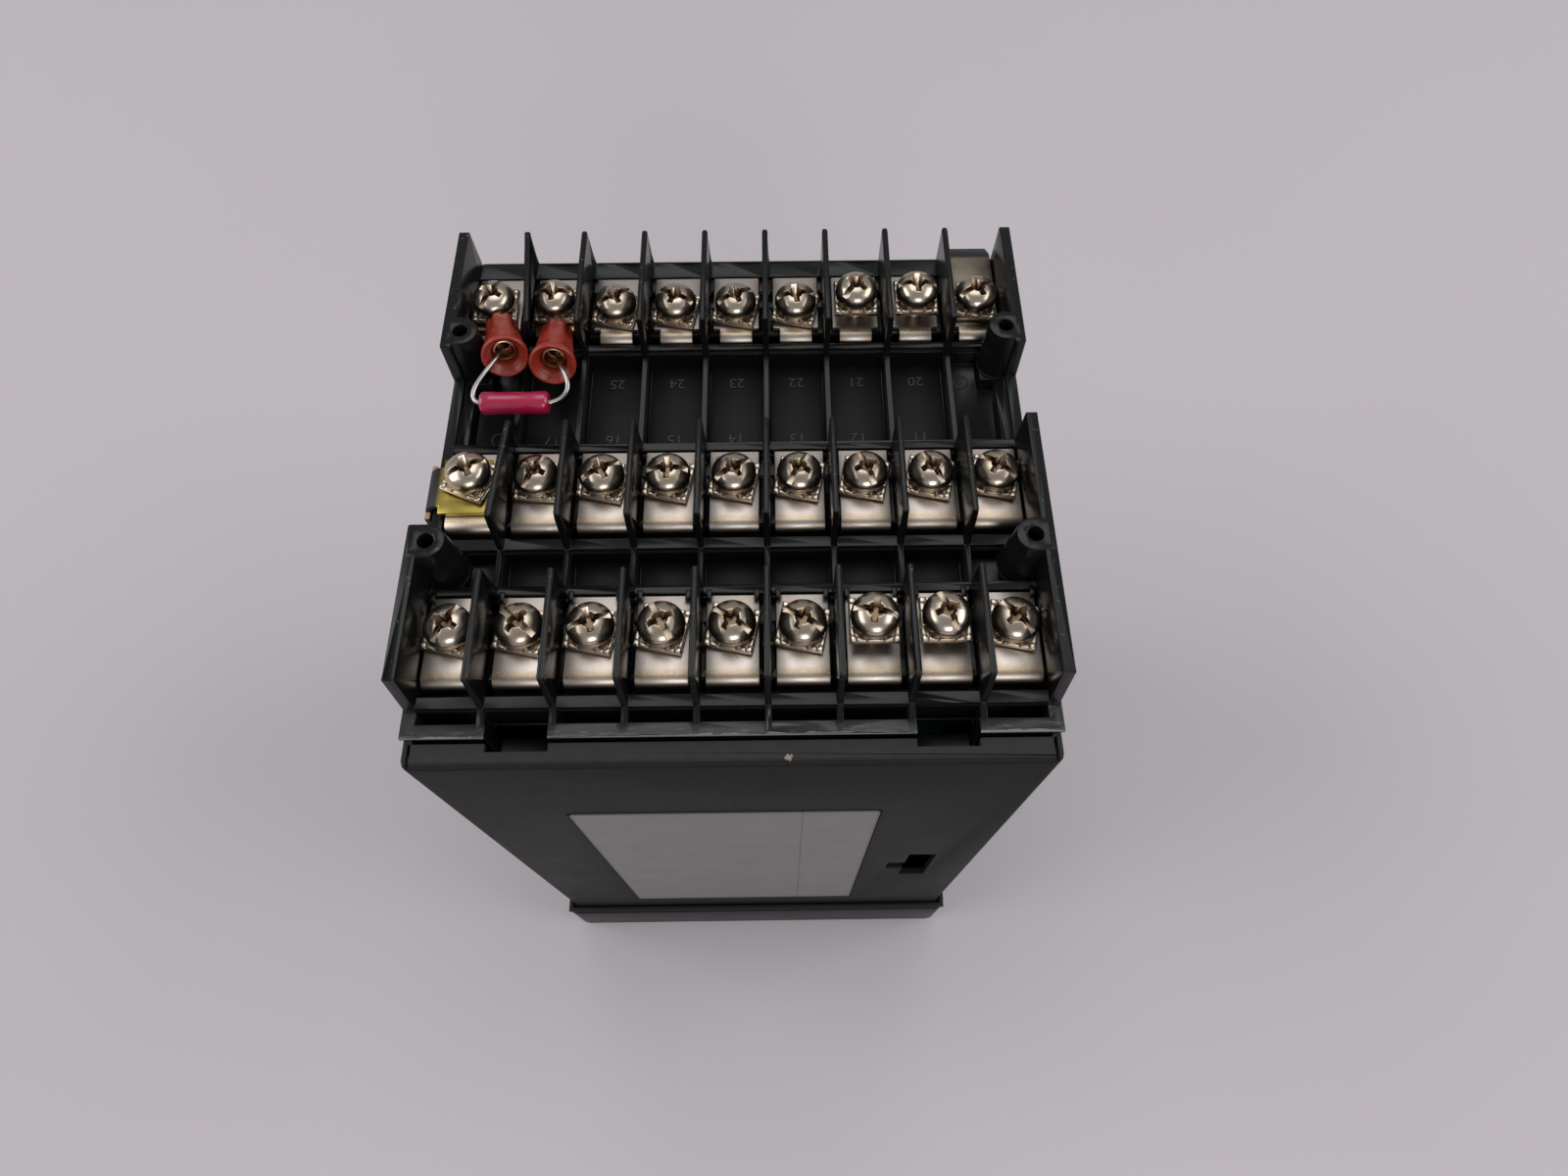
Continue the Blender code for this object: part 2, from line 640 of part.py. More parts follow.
def build_block_core():
    """Solid of the block's constant section, before fins, walls and holes."""
    flange_top = FLANGE_Z + FLANGE_THICKNESS
    ledge = NEAR_Y - LEDGE_FRONT
    near = row_section(NEAR_Y, "leg")
    middle = row_section(MIDDLE_Y, "leg")
    far = row_section(FAR_Y, "tab")
    far[-1] = (BLOCK_BACK, CONTACT_TOP)
    section = [
        (SKIRT_HALF, BLOCK_BOTTOM),
        (BLOCK_FRONT, BLOCK_BOTTOM),
        (BLOCK_FRONT, flange_top),
        (ledge - SLOT_WIDTH, flange_top),
        (ledge - SLOT_WIDTH, SLOT_FLOOR),
        (ledge, SLOT_FLOOR),
        *near,
        (near[-1][0], BANK_TOP),
        (middle[0][0], BANK_TOP),
        *middle,
        (middle[-1][0], BANK_TOP),
        (far[0][0], BANK_TOP),
        *far,
        (BLOCK_BACK, CASE_LENGTH),
        (SKIRT_HALF, CASE_LENGTH),
    ]
    return outline_mesh("block", [section], SIDE_VIEW, 2 * SKIRT_HALF)


def fin_outline(y, kind):
    """Side outline of one row's fins, down into the block's core."""
    front = y - (TAB_FIN_FRONT if kind == "tab" else FIN_FRONT)
    back = BLOCK_BACK - SLIDE_GAP if kind == "tab" else y + FIN_BACK
    root = LEG_FLOOR
    return [
        (front - FIN_SLOPE, root),
        (back + SLIDE_GAP, root),
        (back, FIN_TOP),
        (front, FIN_TOP),
        (front - FIN_SLOPE, LEDGE_TOP),
    ]


def near_fin_outline():
    """Near row's fins, whose feet run out over the slot to the flange."""
    seat = CONTACT_TOP - CONTACT_THICKNESS - SEAT_GAP
    toe = BLOCK_FRONT + SLIDE_GAP
    root = SLOT_FLOOR - SLOT_WIDTH / 2
    heel = NEAR_Y - LEDGE_FRONT + SLIDE_GAP
    upper = [(y, max(z, seat)) for y, z in fin_outline(NEAR_Y, "leg")]
    foot = [(toe, FLANGE_Z + FLANGE_THICKNESS), (toe, root), (heel, root), (heel, seat)]
    return [*upper[1:], *foot]


def lean_fin(mesh, x, root, front_shift, back_shift):
    """Push the top of one fin over, more at one end than at the other."""
    fin = [v.co for v in mesh.vertices if abs(v.co.x - x) < FIN_THICKNESS]
    front, back = min(p.y for p in fin), max(p.y for p in fin)
    for point in fin:
        share = (point.y - front) / (back - front)
        shift = front_shift + (back_shift - front_shift) * share
        point.x += shift * (point.z - root) / (FIN_TOP - root)


def wall_outline(side):
    """Outer wall: high beside the near and far rows, low between them."""
    front = NEAR_Y - FIN_FRONT
    low = LEDGE_TOP + FIN_SLOPE / 2
    near_end = NEAR_Y + NEAR_POST_Y + POST_RADIUS
    rise_end = MIDDLE_Y + FIN_BACK + SLIDE_GAP if side > 0 else near_end
    far_start = FAR_Y - FAR_POST_Y - POST_RADIUS - FIN_SLOPE / 2
    return [
        (front - 2 * FIN_SLOPE, FLANGE_Z),
        (BLOCK_BACK, FLANGE_Z),
        (BLOCK_BACK, CONTACT_TOP),
        (BLOCK_BACK - SLIDE_GAP, FIN_TOP),
        (far_start, FIN_TOP),
        (far_start - FIN_SLOPE / 2, low),
        (rise_end + SLIDE_GAP, low),
        (rise_end, FIN_TOP),
        (front, FIN_TOP),
        (front - FIN_SLOPE, LEDGE_TOP),
    ]


def post_places():
    """Middle x and y of the four corner posts."""
    x = BLOCK_HALF - POST_RADIUS - SEAT_GAP / 2
    return [(side * x, y) for side in (-1, 1) for y in (NEAR_Y + NEAR_POST_Y, FAR_Y - FAR_POST_Y)]


def trough_outlines():
    """Plan of the two deep troughs between the rows, which stop short of the corner posts."""
    margin = SEAT_GAP / 2
    narrow = BLOCK_HALF - 2 * POST_RADIUS - SEAT_GAP
    wide = SKIRT_HALF - BLOCK_WALL
    back = PLATE_BACK + SEAT_GAP + BACK_WALL + margin
    y0, y1 = NEAR_Y + back, MIDDLE_Y - LEDGE_FRONT - margin
    near = [(-narrow, y0), (narrow, y0), (narrow, y1), (-narrow, y1)]
    y2, y4 = MIDDLE_Y + back, FAR_Y - TAB_LEDGE_FRONT - margin
    y3 = FAR_Y - FAR_POST_Y - POST_RADIUS - SEAT_GAP
    right = [(wide, y2), (wide, y3), (narrow, y3), (narrow, y4)]
    return [near, right + [(-x, y) for x, y in reversed(right)]]


def carrier_boxes(y, margin, top):
    """The strip that carries one row's contacts, or with a margin its channel."""
    ends = COLUMN_X[-1] + TAB_WIDTH / 2
    middle = y + (PLATE_BACK + SHANK_HOLE) / 2
    half = (PLATE_BACK - SHANK_HOLE) / 2 - SLIDE_GAP
    seat = CONTACT_TOP - CONTACT_THICKNESS - SEAT_GAP
    low = seat - 2 * CONTACT_THICKNESS
    return (
        (-ends - margin, middle - half - margin, low - margin),
        (ends + margin, middle + half + margin, top),
    )


def build_terminal_block(material):
    """Moulded block with three rows of nine compartments."""
    block = piece("terminal_block", build_block_core(), material, location=(0, 0, BEZEL_DEPTH))
    up = {"location": (0, 0, BEZEL_DEPTH)}
    seat = CONTACT_TOP - CONTACT_THICKNESS - SEAT_GAP
    channels = [carrier_boxes(y, SEAT_GAP, seat + SEAT_GAP) for y in ROWS.values()]
    combine(block, box_mesh("channels", channels), "DIFFERENCE", "channels", **up)
    height = FIN_TOP - TROUGH_FLOOR
    troughs = outline_mesh("troughs", trough_outlines(), TOP_VIEW, height)
    middle = (0, 0, BEZEL_DEPTH + TROUGH_FLOOR + height / 2)
    combine(block, troughs, "DIFFERENCE", "troughs", location=middle)
    flange_top = FLANGE_Z + FLANGE_THICKNESS
    inner = SKIRT_HALF - WALL_ROOT / 2
    edges = ((-HALF, -inner), (inner, HALF))
    sides = [((a, BLOCK_FRONT, FLANGE_Z), (b, BLOCK_BACK, flange_top)) for a, b in edges]
    combine(block, box_mesh("flange", sides), "UNION", "flange", **up)
    fins = {
        "near": near_fin_outline(),
        "middle": fin_outline(MIDDLE_Y, "leg"),
        "far": fin_outline(FAR_Y, "tab"),
    }
    for row, outline in fins.items():
        upper = [(y, max(z, seat)) for y, z in outline] if row != "near" else outline
        mesh = outline_mesh(f"{row}_fins", [upper], SIDE_VIEW, FIN_THICKNESS, FIN_X)
        if row in LEAN:
            lean_fin(mesh, FIN_X[0], seat, *LEAN[row])
        combine(block, mesh, "UNION", f"{row}_fins", **up)
    half = FIN_THICKNESS / 2
    low = TROUGH_FLOOR - FIN_THICKNESS
    near_trough = (NEAR_Y + PLATE_BACK, MIDDLE_Y - LEDGE_FRONT + SLIDE_GAP)
    far_trough = (MIDDLE_Y + PLATE_BACK, FAR_Y - TAB_LEDGE_FRONT + SLIDE_GAP)
    spans = (near_trough, far_trough)
    ribs = [((x - half, y0, low), (x + half, y1, LEDGE_TOP)) for x in FIN_X for y0, y1 in spans]
    combine(block, box_mesh("ribs", ribs), "UNION", "ribs", **up)
    thickness = BLOCK_HALF - SKIRT_HALF + WALL_ROOT
    for side in (-1, 1):
        wall = outline_mesh("wall", [wall_outline(side)], SIDE_VIEW, thickness)
        place = (side * (BLOCK_HALF - thickness / 2), 0, BEZEL_DEPTH)
        combine(block, wall, "UNION", f"wall_{side + 1}", location=place)
    posts = [(x, y, FLANGE_Z, FIN_TOP, POST_RADIUS) for x, y in post_places()]
    combine(block, cylinder_mesh("posts", posts), "UNION", "posts", **up)
    holes = [(x, y, FIN_TOP - POST_HOLE_DEPTH, 2 * FIN_TOP, POST_HOLE) for x, y in post_places()]
    combine(block, cylinder_mesh("post_holes", holes, 12), "DIFFERENCE", "post_holes", **up)
    places = [(x, y) for x in COLUMN_X for y in ROWS.values()]
    pocket = (POCKET, POCKET)
    pockets = [slab(place, pocket, 0, POCKET_FLOOR, seat + SEAT_GAP) for place in places]
    combine(block, box_mesh("pockets", pockets), "DIFFERENCE", "pockets", **up)
    inside = SKIRT_HALF - 2 * CASE_WALL
    cavity = ((-inside, BLOCK_FRONT + 2 * CASE_WALL, 0), (inside, inside, CAVITY_ROOF))
    combine(block, box_mesh("cavity", [cavity]), "DIFFERENCE", "cavity", **up)
    half = LATCH_WIDTH / 2
    back = NEAR_Y - LEDGE_FRONT
    latches = [((x - half, -HALF, SLOT_FLOOR), (x + half, back, 2 * FIN_TOP)) for x in LATCH_X]
    combine(block, box_mesh("latches", latches), "DIFFERENCE", "latches", **up)


def contact_outline(front, back):
    """Side outline of a contact: a plate whose front end turns down into its leg."""
    top = CONTACT_TOP
    bend = 2 * CONTACT_THICKNESS
    outer = []
    inner = []
    centre = (front + bend, top - bend)
    for step in range(3):
        angle = math.pi / 2 + step * math.pi / 4
        outer.append((centre[0] + bend * math.cos(angle), centre[1] + bend * math.sin(angle)))
        radius = bend - CONTACT_THICKNESS
        inner.append((centre[0] + radius * math.cos(angle), centre[1] + radius * math.sin(angle)))
    foot = LEG_FLOOR + SEAT_GAP
    ends = [(front, foot), (front + CONTACT_THICKNESS, foot)]
    return [(back, top - CONTACT_THICKNESS), (back, top), *outer, *ends, *reversed(inner)]


def build_contact_row(row, y, material):
    """Nine screw contacts on the strip that carries them."""
    up = {"location": (0, 0, BEZEL_DEPTH)}
    seat = CONTACT_TOP - CONTACT_THICKNESS - SEAT_GAP
    (left, low, bottom), (right, high, top) = carrier_boxes(y, 0, seat - SEAT_GAP)
    comb = [(left, top), (left, bottom), (right, bottom), (right, top)]
    tooth = TAB_WIDTH / 3
    tip = CONTACT_TOP - CONTACT_THICKNESS / 2
    for x in reversed(COLUMN_X):
        comb += [(x + tooth, top), (x + tooth, tip), (x - tooth, tip), (x - tooth, top)]
    place = (0, (low + high) / 2, BEZEL_DEPTH)
    comb_mesh = outline_mesh("comb", [comb], END_VIEW, high - low)
    contacts = piece(f"{row}_contacts", comb_mesh, material, location=place)
    front = TAB_FRONT if row == "far" else PLATE_FRONT
    outline = contact_outline(y - front, y + plate_back("tab" if row == "far" else "leg"))
    mesh = outline_mesh("plates", [outline], SIDE_VIEW, CONTACT_WIDTH, COLUMN_X)
    combine(contacts, mesh, "UNION", "plates", **up)
    holes = [(x, y, seat - SEAT_GAP, 2 * CONTACT_TOP, SHANK_HOLE) for x in COLUMN_X]
    combine(contacts, cylinder_mesh("holes", holes, 12), "DIFFERENCE", "holes", **up)
    if row == "far":
        inner, outer = TAB_WIDTH / 2, CONTACT_WIDTH / 2 + SEAT_GAP
        sides = [(x + a, x + b) for x in COLUMN_X for a, b in ((-outer, -inner), (inner, outer))]
        shoulder = y - TAB_SHOULDER
        corners = [((a, y - PLATE_FRONT, 0), (b, shoulder, FIN_TOP)) for a, b in sides]
        combine(contacts, box_mesh("corners", corners), "DIFFERENCE", "corners", **up)


# Terminal screws


def screw_mesh():
    """Pan-head screw with its captive clamp plate, the clamp's underside at height 0."""
    width, depth, clamp = CLAMP_SIZE
    seat = clamp + WASHER[1]
    top = seat + HEAD_HEIGHT
    profile = [(0, top)]
    for step in range(1, 4):
        angle = math.radians(90 - 30 * step)
        height = seat + HEAD_RIM + (HEAD_HEIGHT - HEAD_RIM) * math.sin(angle)
        profile.append((HEAD_RADIUS * math.cos(angle), height))
    profile += [
        (HEAD_RADIUS, seat),
        (WASHER[0], seat),
        (WASHER[0], clamp / 2),
        (SHANK_RADIUS, clamp / 2),
        (SHANK_RADIUS, -SHANK_LENGTH),
        (0, -SHANK_LENGTH),
    ]
    master = turned("screw_master", profile, GUIDES, 12)
    plate = box_mesh("clamp", [((-width / 2, -depth / 2, 0), (width / 2, depth / 2, clamp))])
    combine(master, plate, "UNION", "clamp")
    thick, deep = DRIVER_SLOT
    slot = ((-width, -thick / 2, top - deep), (width, thick / 2, 2 * top))
    combine(master, box_mesh("slot", [slot]), "DIFFERENCE", "slot")
    mesh = evaluated_mesh(master)
    bpy.data.objects.remove(master, do_unlink=True)
    return mesh


def build_screws(material):
    """The 27 terminal screws, four of them backed out and four seated on an added plate."""
    mesh = screw_mesh()
    mesh.materials.clear()
    mesh.materials.append(material)
    for row, y in ROWS.items():
        for column, x in enumerate(COLUMN_X):
            height = BEZEL_DEPTH + CLAMP_BOTTOM + LIFTS.get((row, column), 0.0)
            turn = math.radians(CLAMP_TURN.get((row, column), CLAMP_TURN_USUAL))
            add_object(f"screw_{row}_{column + 1}", mesh, PRODUCT, (x, y, height), (0, 0, turn))


# Earth clips


def clip_outline(inner_end, outer_face, lean):
    """Side outline of a clip: a flat on the contact, and a leg down the case's side."""
    low = CLAMP_BOTTOM
    top = low + CLIP_THICKNESS
    foot = low - CLIP_LEG
    outer = outer_face + lean * CLIP_THICKNESS
    return [
        (inner_end, low),
        (inner_end, top),
        (outer, top),
        (outer + lean * CLIP_BARB, top - CLIP_LEG / 3),
        (outer, top - CLIP_LEG / 3 - CLIP_BARB),
        (outer, foot),
        (outer_face, foot),
        (outer_face, low),
    ]


def build_clip(name, column, row_y, direction, material):
    """Earth clip under one screw, leading over the block's wall to the case's outside."""
    x = COLUMN_X[column]
    face = HALF + SEAT_GAP
    if direction == "left":
        outline = clip_outline(x + SHANK_HOLE + CLIP_THICKNESS, -face, -1)
        mesh = outline_mesh(name, [outline], END_VIEW, CLIP_WIDTH)
        place = (0, row_y + (PLATE_BACK - PLATE_FRONT) / 2 + SLIDE_GAP, BEZEL_DEPTH)
    else:
        outline = clip_outline(row_y - SHANK_HOLE - CLIP_THICKNESS, face, 1)
        mesh = outline_mesh(name, [outline], SIDE_VIEW, CONTACT_WIDTH)
        place = (x, 0, BEZEL_DEPTH)
    clip = piece(name, mesh, material, location=place)
    hole = cylinder_mesh("hole", [(x, row_y, 0, 2 * FIN_TOP, SHANK_HOLE)], 12)
    combine(clip, hole, "DIFFERENCE", "hole", location=(0, 0, 0))


# Resistor with its crimped leads


def sleeve_places():
    """Crimp end of each sleeve and the turn of its axis about Z, on the far row's first two screws."""
    height = BEZEL_DEPTH + CLAMP_BOTTOM + SLEEVE_RADII[0] + SEAT_GAP
    first = Vector((COLUMN_X[0] + 1.7 * MM, FAR_Y - 4.7 * MM, height))
    second = Vector((COLUMN_X[1] + 0.9 * MM, FAR_Y - 6.1 * MM, height))
    return [(first, math.radians(14)), (second, math.radians(4))]


def sleeve_axis(turn):
    """Direction from a sleeve's crimp to its mouth."""
    level = math.cos(SLEEVE_TILT)
    return Vector((math.sin(turn) * level, -math.cos(turn) * level, math.sin(SLEEVE_TILT)))


def sleeve_rotation(turn):
    """Rotation that carries +Z to a sleeve's axis."""
    return sleeve_axis(turn).to_track_quat("Z", "Y").to_euler()


def build_lug(name, column, start, turn, metal):
    """Ring terminal: a barrel along the sleeve's axis and a tongue under the clamp."""
    inner, outer = BARREL_RADII
    length = SLEEVE_LENGTH * 0.6
    tail = -BARREL_TAIL
    profile = [(inner, length), (outer, length), (outer, tail), (inner, tail), (inner, length)]
    barrel = turned(name, profile, PRODUCT, 12, location=start, rotation=sleeve_rotation(turn))
    dress(barrel, metal)
    width, thickness = TONGUE
    x, y = COLUMN_X[column], FAR_Y
    low = BEZEL_DEPTH + CLAMP_BOTTOM
    front = start.y + SEAT_GAP
    tongue = ((x - width / 2, front, low), (x + width / 2, y + width / 2, low + thickness))
    neck_half = outer * 0.8
    neck = ((start.x - neck_half, front, low), (start.x + neck_half, start.y + BARREL_TAIL, start.z))
    combine(barrel, box_mesh("tongue", [tongue]), "UNION", "tongue")
    combine(barrel, box_mesh("neck", [neck]), "UNION", "neck")
    hole = cylinder_mesh("hole", [(x, y, low - thickness, low + 2 * thickness, SHANK_HOLE)], 12)
    combine(barrel, hole, "DIFFERENCE", "hole")
    profile = [(0, length), (inner, length), (inner, 2 * tail), (0, 2 * tail)]
    bore = turned("bore_guide", profile, GUIDES, 12)
    mesh = evaluated_mesh(bore)
    bpy.data.objects.remove(bore, do_unlink=True)
    combine(barrel, mesh, "DIFFERENCE", "bore", location=start, rotation=sleeve_rotation(turn))


def build_sleeve(name, start, turn, material):
    """Flared insulating sleeve round a ring terminal's barrel."""
    crimp, waist, mouth = SLEEVE_RADII
    wall = SLEEVE_WALL
    middle = SLEEVE_LENGTH / 2
    inner = BARREL_RADII[1] + SEAT_GAP
    profile = [
        (mouth - wall, SLEEVE_LENGTH),
        (mouth, SLEEVE_LENGTH),
        (waist, middle),
        (crimp, middle / 3),
        (crimp, 0),
        (inner, 0),
        (inner, middle / 2),
        (waist - wall, middle * 1.2),
        (mouth - wall, SLEEVE_LENGTH),
    ]
    dress(turned(name, profile, PRODUCT, 16, location=start, rotation=sleeve_rotation(turn)), material)


def lead_points(entry, body_end, outward):
    """One lead from inside a barrel round to the resistor's end, on a smooth curve."""
    start, axis = entry
    inside = start + axis * SLEEVE_LENGTH / 4
    mouth = start + axis * SLEEVE_LENGTH
    handles = [
        inside,
        start + axis * SLEEVE_LENGTH * 0.8,
        mouth + Vector((outward * 1.0 * MM, -0.6 * MM, 0)),
        mouth + Vector((outward * 4.2 * MM, -2.6 * MM, -0.8 * MM)),
        body_end + Vector((outward * 3.2 * MM, 0.8 * MM, 0)),
        body_end,
    ]
    steps = 14
    points = []
    for step in range(steps + 1):
        level = [handle.copy() for handle in handles]
        share = step / steps
        while len(level) > 1:
            level = [a.lerp(b, share) for a, b in zip(level, level[1:])]
        points.append(level[0])
    return points


def build_resistor(body_material, lead_material):
    """Resistor body with one wire through it whose ends run into the two barrels."""
    (first, turn_1), (second, turn_2) = sleeve_places()
    middle = Vector((
        (first.x + second.x) / 2 - 0.5 * MM,
        (first.y + second.y) / 2 - SLEEVE_LENGTH - 5.8 * MM,
        BEZEL_DEPTH + CLAMP_BOTTOM + 3.4 * MM,
    ))
    half = RESISTOR_LENGTH / 2
    bore = LEAD_RADIUS + SEAT_GAP
    full = RESISTOR_RADIUS
    waist = full - 0.15 * MM
    profile = [
        (bore, half),
        (full - 0.5 * MM, half),
        (full, half - 0.6 * MM),
        (full, half - 2.2 * MM),
        (waist, half - 3.0 * MM),
        (waist, 3.0 * MM - half),
        (full, 2.2 * MM - half),
        (full, 0.6 * MM - half),
        (full - 0.5 * MM, -half),
        (bore, -half),
        (bore, half),
    ]
    body = turned("resistor_body", profile, PRODUCT, 14, location=middle, rotation=(0, math.pi / 2, 0))
    dress(body, body_material)
    left, right = middle - Vector((half, 0, 0)), middle + Vector((half, 0, 0))
    route = lead_points((first, sleeve_axis(turn_1)), left, -1)
    route += list(reversed(lead_points((second, sleeve_axis(turn_2)), right, 1)))
    curve = bpy.data.curves.new("resistor_leads", "CURVE")
    curve.dimensions = "3D"
    curve.bevel_depth = LEAD_RADIUS
    curve.bevel_resolution = 2
    curve.use_fill_caps = True
    spline = curve.splines.new("POLY")
    spline.points.add(len(route) - 1)
    for slot, point in zip(spline.points, route):
        slot.co = (*point, 1)
    piece("resistor_leads", curve, lead_material)


def build_edge_connector(material):
    """Connector under the terminal block that takes the upright boards' tongues."""
    low = BOARD_SHOULDER_Z + CONNECTOR_MARGIN
    high = BEZEL_DEPTH + CAVITY_ROOF - SEAT_GAP
    half_x = BOARD_TONGUE + CONNECTOR_MARGIN
    half_y = BOARD_Y + CONNECTOR_MARGIN
    body = ((-half_x, -half_y, low), (half_x, half_y, high))
    connector = piece("rear_edge_connector", box_mesh("connector", [body]), material)
    gap = BOARD_THICKNESS / 2 + SLIDE_GAP
    reach = BOARD_TONGUE + SLIDE_GAP
    slot_top = BEZEL_DEPTH + BLOCK_BOTTOM + SLIDE_GAP
    slots = [((-reach, y - gap, 0), (reach, y + gap, slot_top)) for y in (-BOARD_Y, BOARD_Y)]
    inner = BOARD_Y - CONNECTOR_MARGIN
    relief = ((-CASE_SIZE, -inner, 0), (CASE_SIZE, inner, high - CONNECTOR_MARGIN))
    combine(connector, box_mesh("slots", [*slots, relief]), "DIFFERENCE", "slots")


clear_scene()
PRODUCT = make_collection("panel_controller")
GUIDES = make_collection("cutters")


def build():
    """Make every piece."""
    black = make_material("black_plastic", (0.022, 0.022, 0.021), 0.55)
    dark = make_material("bezel_plastic", (0.03, 0.03, 0.03), 0.5)
    rubber = make_material("gasket_rubber", (0.015, 0.015, 0.015), 0.8)
    lens = make_material("window_plastic", (0.05, 0.06, 0.06), 0.1, alpha=0.4)
    module = make_material("display_glass", (0.12, 0.14, 0.12), 0.2)
    keys = make_material("key_plastic", (0.25, 0.26, 0.27), 0.6)
    green = make_material("circuit_board", (0.02, 0.14, 0.05), 0.45)
    frame = make_material("frame_plastic", (0.08, 0.08, 0.08), 0.6)
    core = make_material("core_steel", (0.22, 0.2, 0.18), 0.5, 0.8)
    nickel = make_material("nickel_plate", (0.62, 0.55, 0.47), 0.3, 1.0)
    zinc = make_material("zinc_plate", (0.5, 0.42, 0.2), 0.35, 1.0)
    paper = make_material("label_film", (0.35, 0.34, 0.33), 0.5)
    magenta = make_material("resistor_lacquer", (0.4, 0.01, 0.05), 0.3)
    wire = make_material("tinned_wire", (0.6, 0.58, 0.55), 0.3, 1.0)
    vinyl = make_material("red_vinyl", (0.5, 0.06, 0.04), 0.35, alpha=0.9)
    copper = make_material("tinned_copper", (0.6, 0.45, 0.35), 0.35, 1.0)
    build_bezel(dark)
    build_gasket(rubber)
    build_display(lens, module)
    build_keys(keys)
    build_front_board(green)
    board_low = build_frame(frame) + SEAT_GAP
    build_upright_board("processor_board", -BOARD_Y, board_low, green)
    build_upright_board("power_board", BOARD_Y, board_low, green)
    build_transformer(core)
    build_chassis_screw(nickel)
    build_case(black)
    build_label(paper)
    build_terminal_block(black)
    for row, y in ROWS.items():
        build_contact_row(row, y, nickel)
    build_screws(nickel)
    build_clip("earth_clip_left", 0, MIDDLE_Y, "left", zinc)
    build_clip("earth_clip_rear", COLUMNS - 1, FAR_Y, "rear", zinc)
    for number, (start, turn) in enumerate(sleeve_places()):
        side = ("left", "right")[number]
        build_lug(f"ring_terminal_{side}", number, start, turn, copper)
        build_sleeve(f"terminal_sleeve_{side}", start, turn, vinyl)
    build_resistor(magenta, wire)
    build_edge_connector(black)


build()
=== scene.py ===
"""Looks of a panel controller that stands on its front face, rear terminals up.

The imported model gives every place. Each sub-assembly below is a class that builds its own
pieces around it, in metres, and dresses them in procedural finishes.
"""

from __future__ import annotations

import logging
import math
from collections.abc import Callable, Iterable, Sequence
from dataclasses import dataclass, field
from enum import StrEnum

import bmesh
import bpy
from mathutils import Euler, Matrix, Vector

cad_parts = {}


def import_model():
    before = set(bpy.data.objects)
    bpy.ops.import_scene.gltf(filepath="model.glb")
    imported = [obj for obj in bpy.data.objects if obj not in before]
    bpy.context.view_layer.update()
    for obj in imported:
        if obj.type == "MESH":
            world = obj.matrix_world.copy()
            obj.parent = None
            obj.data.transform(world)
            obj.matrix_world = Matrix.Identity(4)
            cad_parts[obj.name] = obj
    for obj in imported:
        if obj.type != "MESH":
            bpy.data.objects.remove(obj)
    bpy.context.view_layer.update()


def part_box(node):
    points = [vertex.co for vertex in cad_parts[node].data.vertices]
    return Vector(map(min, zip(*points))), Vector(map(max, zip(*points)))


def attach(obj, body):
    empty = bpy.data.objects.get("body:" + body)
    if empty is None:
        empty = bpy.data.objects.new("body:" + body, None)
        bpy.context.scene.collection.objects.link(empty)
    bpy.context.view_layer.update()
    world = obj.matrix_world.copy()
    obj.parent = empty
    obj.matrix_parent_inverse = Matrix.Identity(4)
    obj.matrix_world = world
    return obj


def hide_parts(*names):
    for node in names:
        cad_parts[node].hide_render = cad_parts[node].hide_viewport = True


LOG = logging.getLogger("panel_controller")
MM = 0.001
WELD = 0.002 * MM  # points closer than this are one
LEVEL = 0.02 * MM  # heights closer than this are the same

Triple = tuple[float, float, float]
Pair = tuple[float, float]
BMesh = bmesh.types.BMesh
BMEdge = bmesh.types.BMEdge
BMVert = bmesh.types.BMVert
Mesh = bpy.types.Mesh
Material = bpy.types.Material
Socket = bpy.types.NodeSocket


class Row(StrEnum):
    """The three rows of terminals, from the label side to the far side."""

    NEAR = "near"
    MIDDLE = "middle"
    FAR = "far"


class Body(StrEnum):
    """The two large bodies that pieces ride on."""

    CHASSIS = "chassis"
    CASE = "case"


# Shader maths


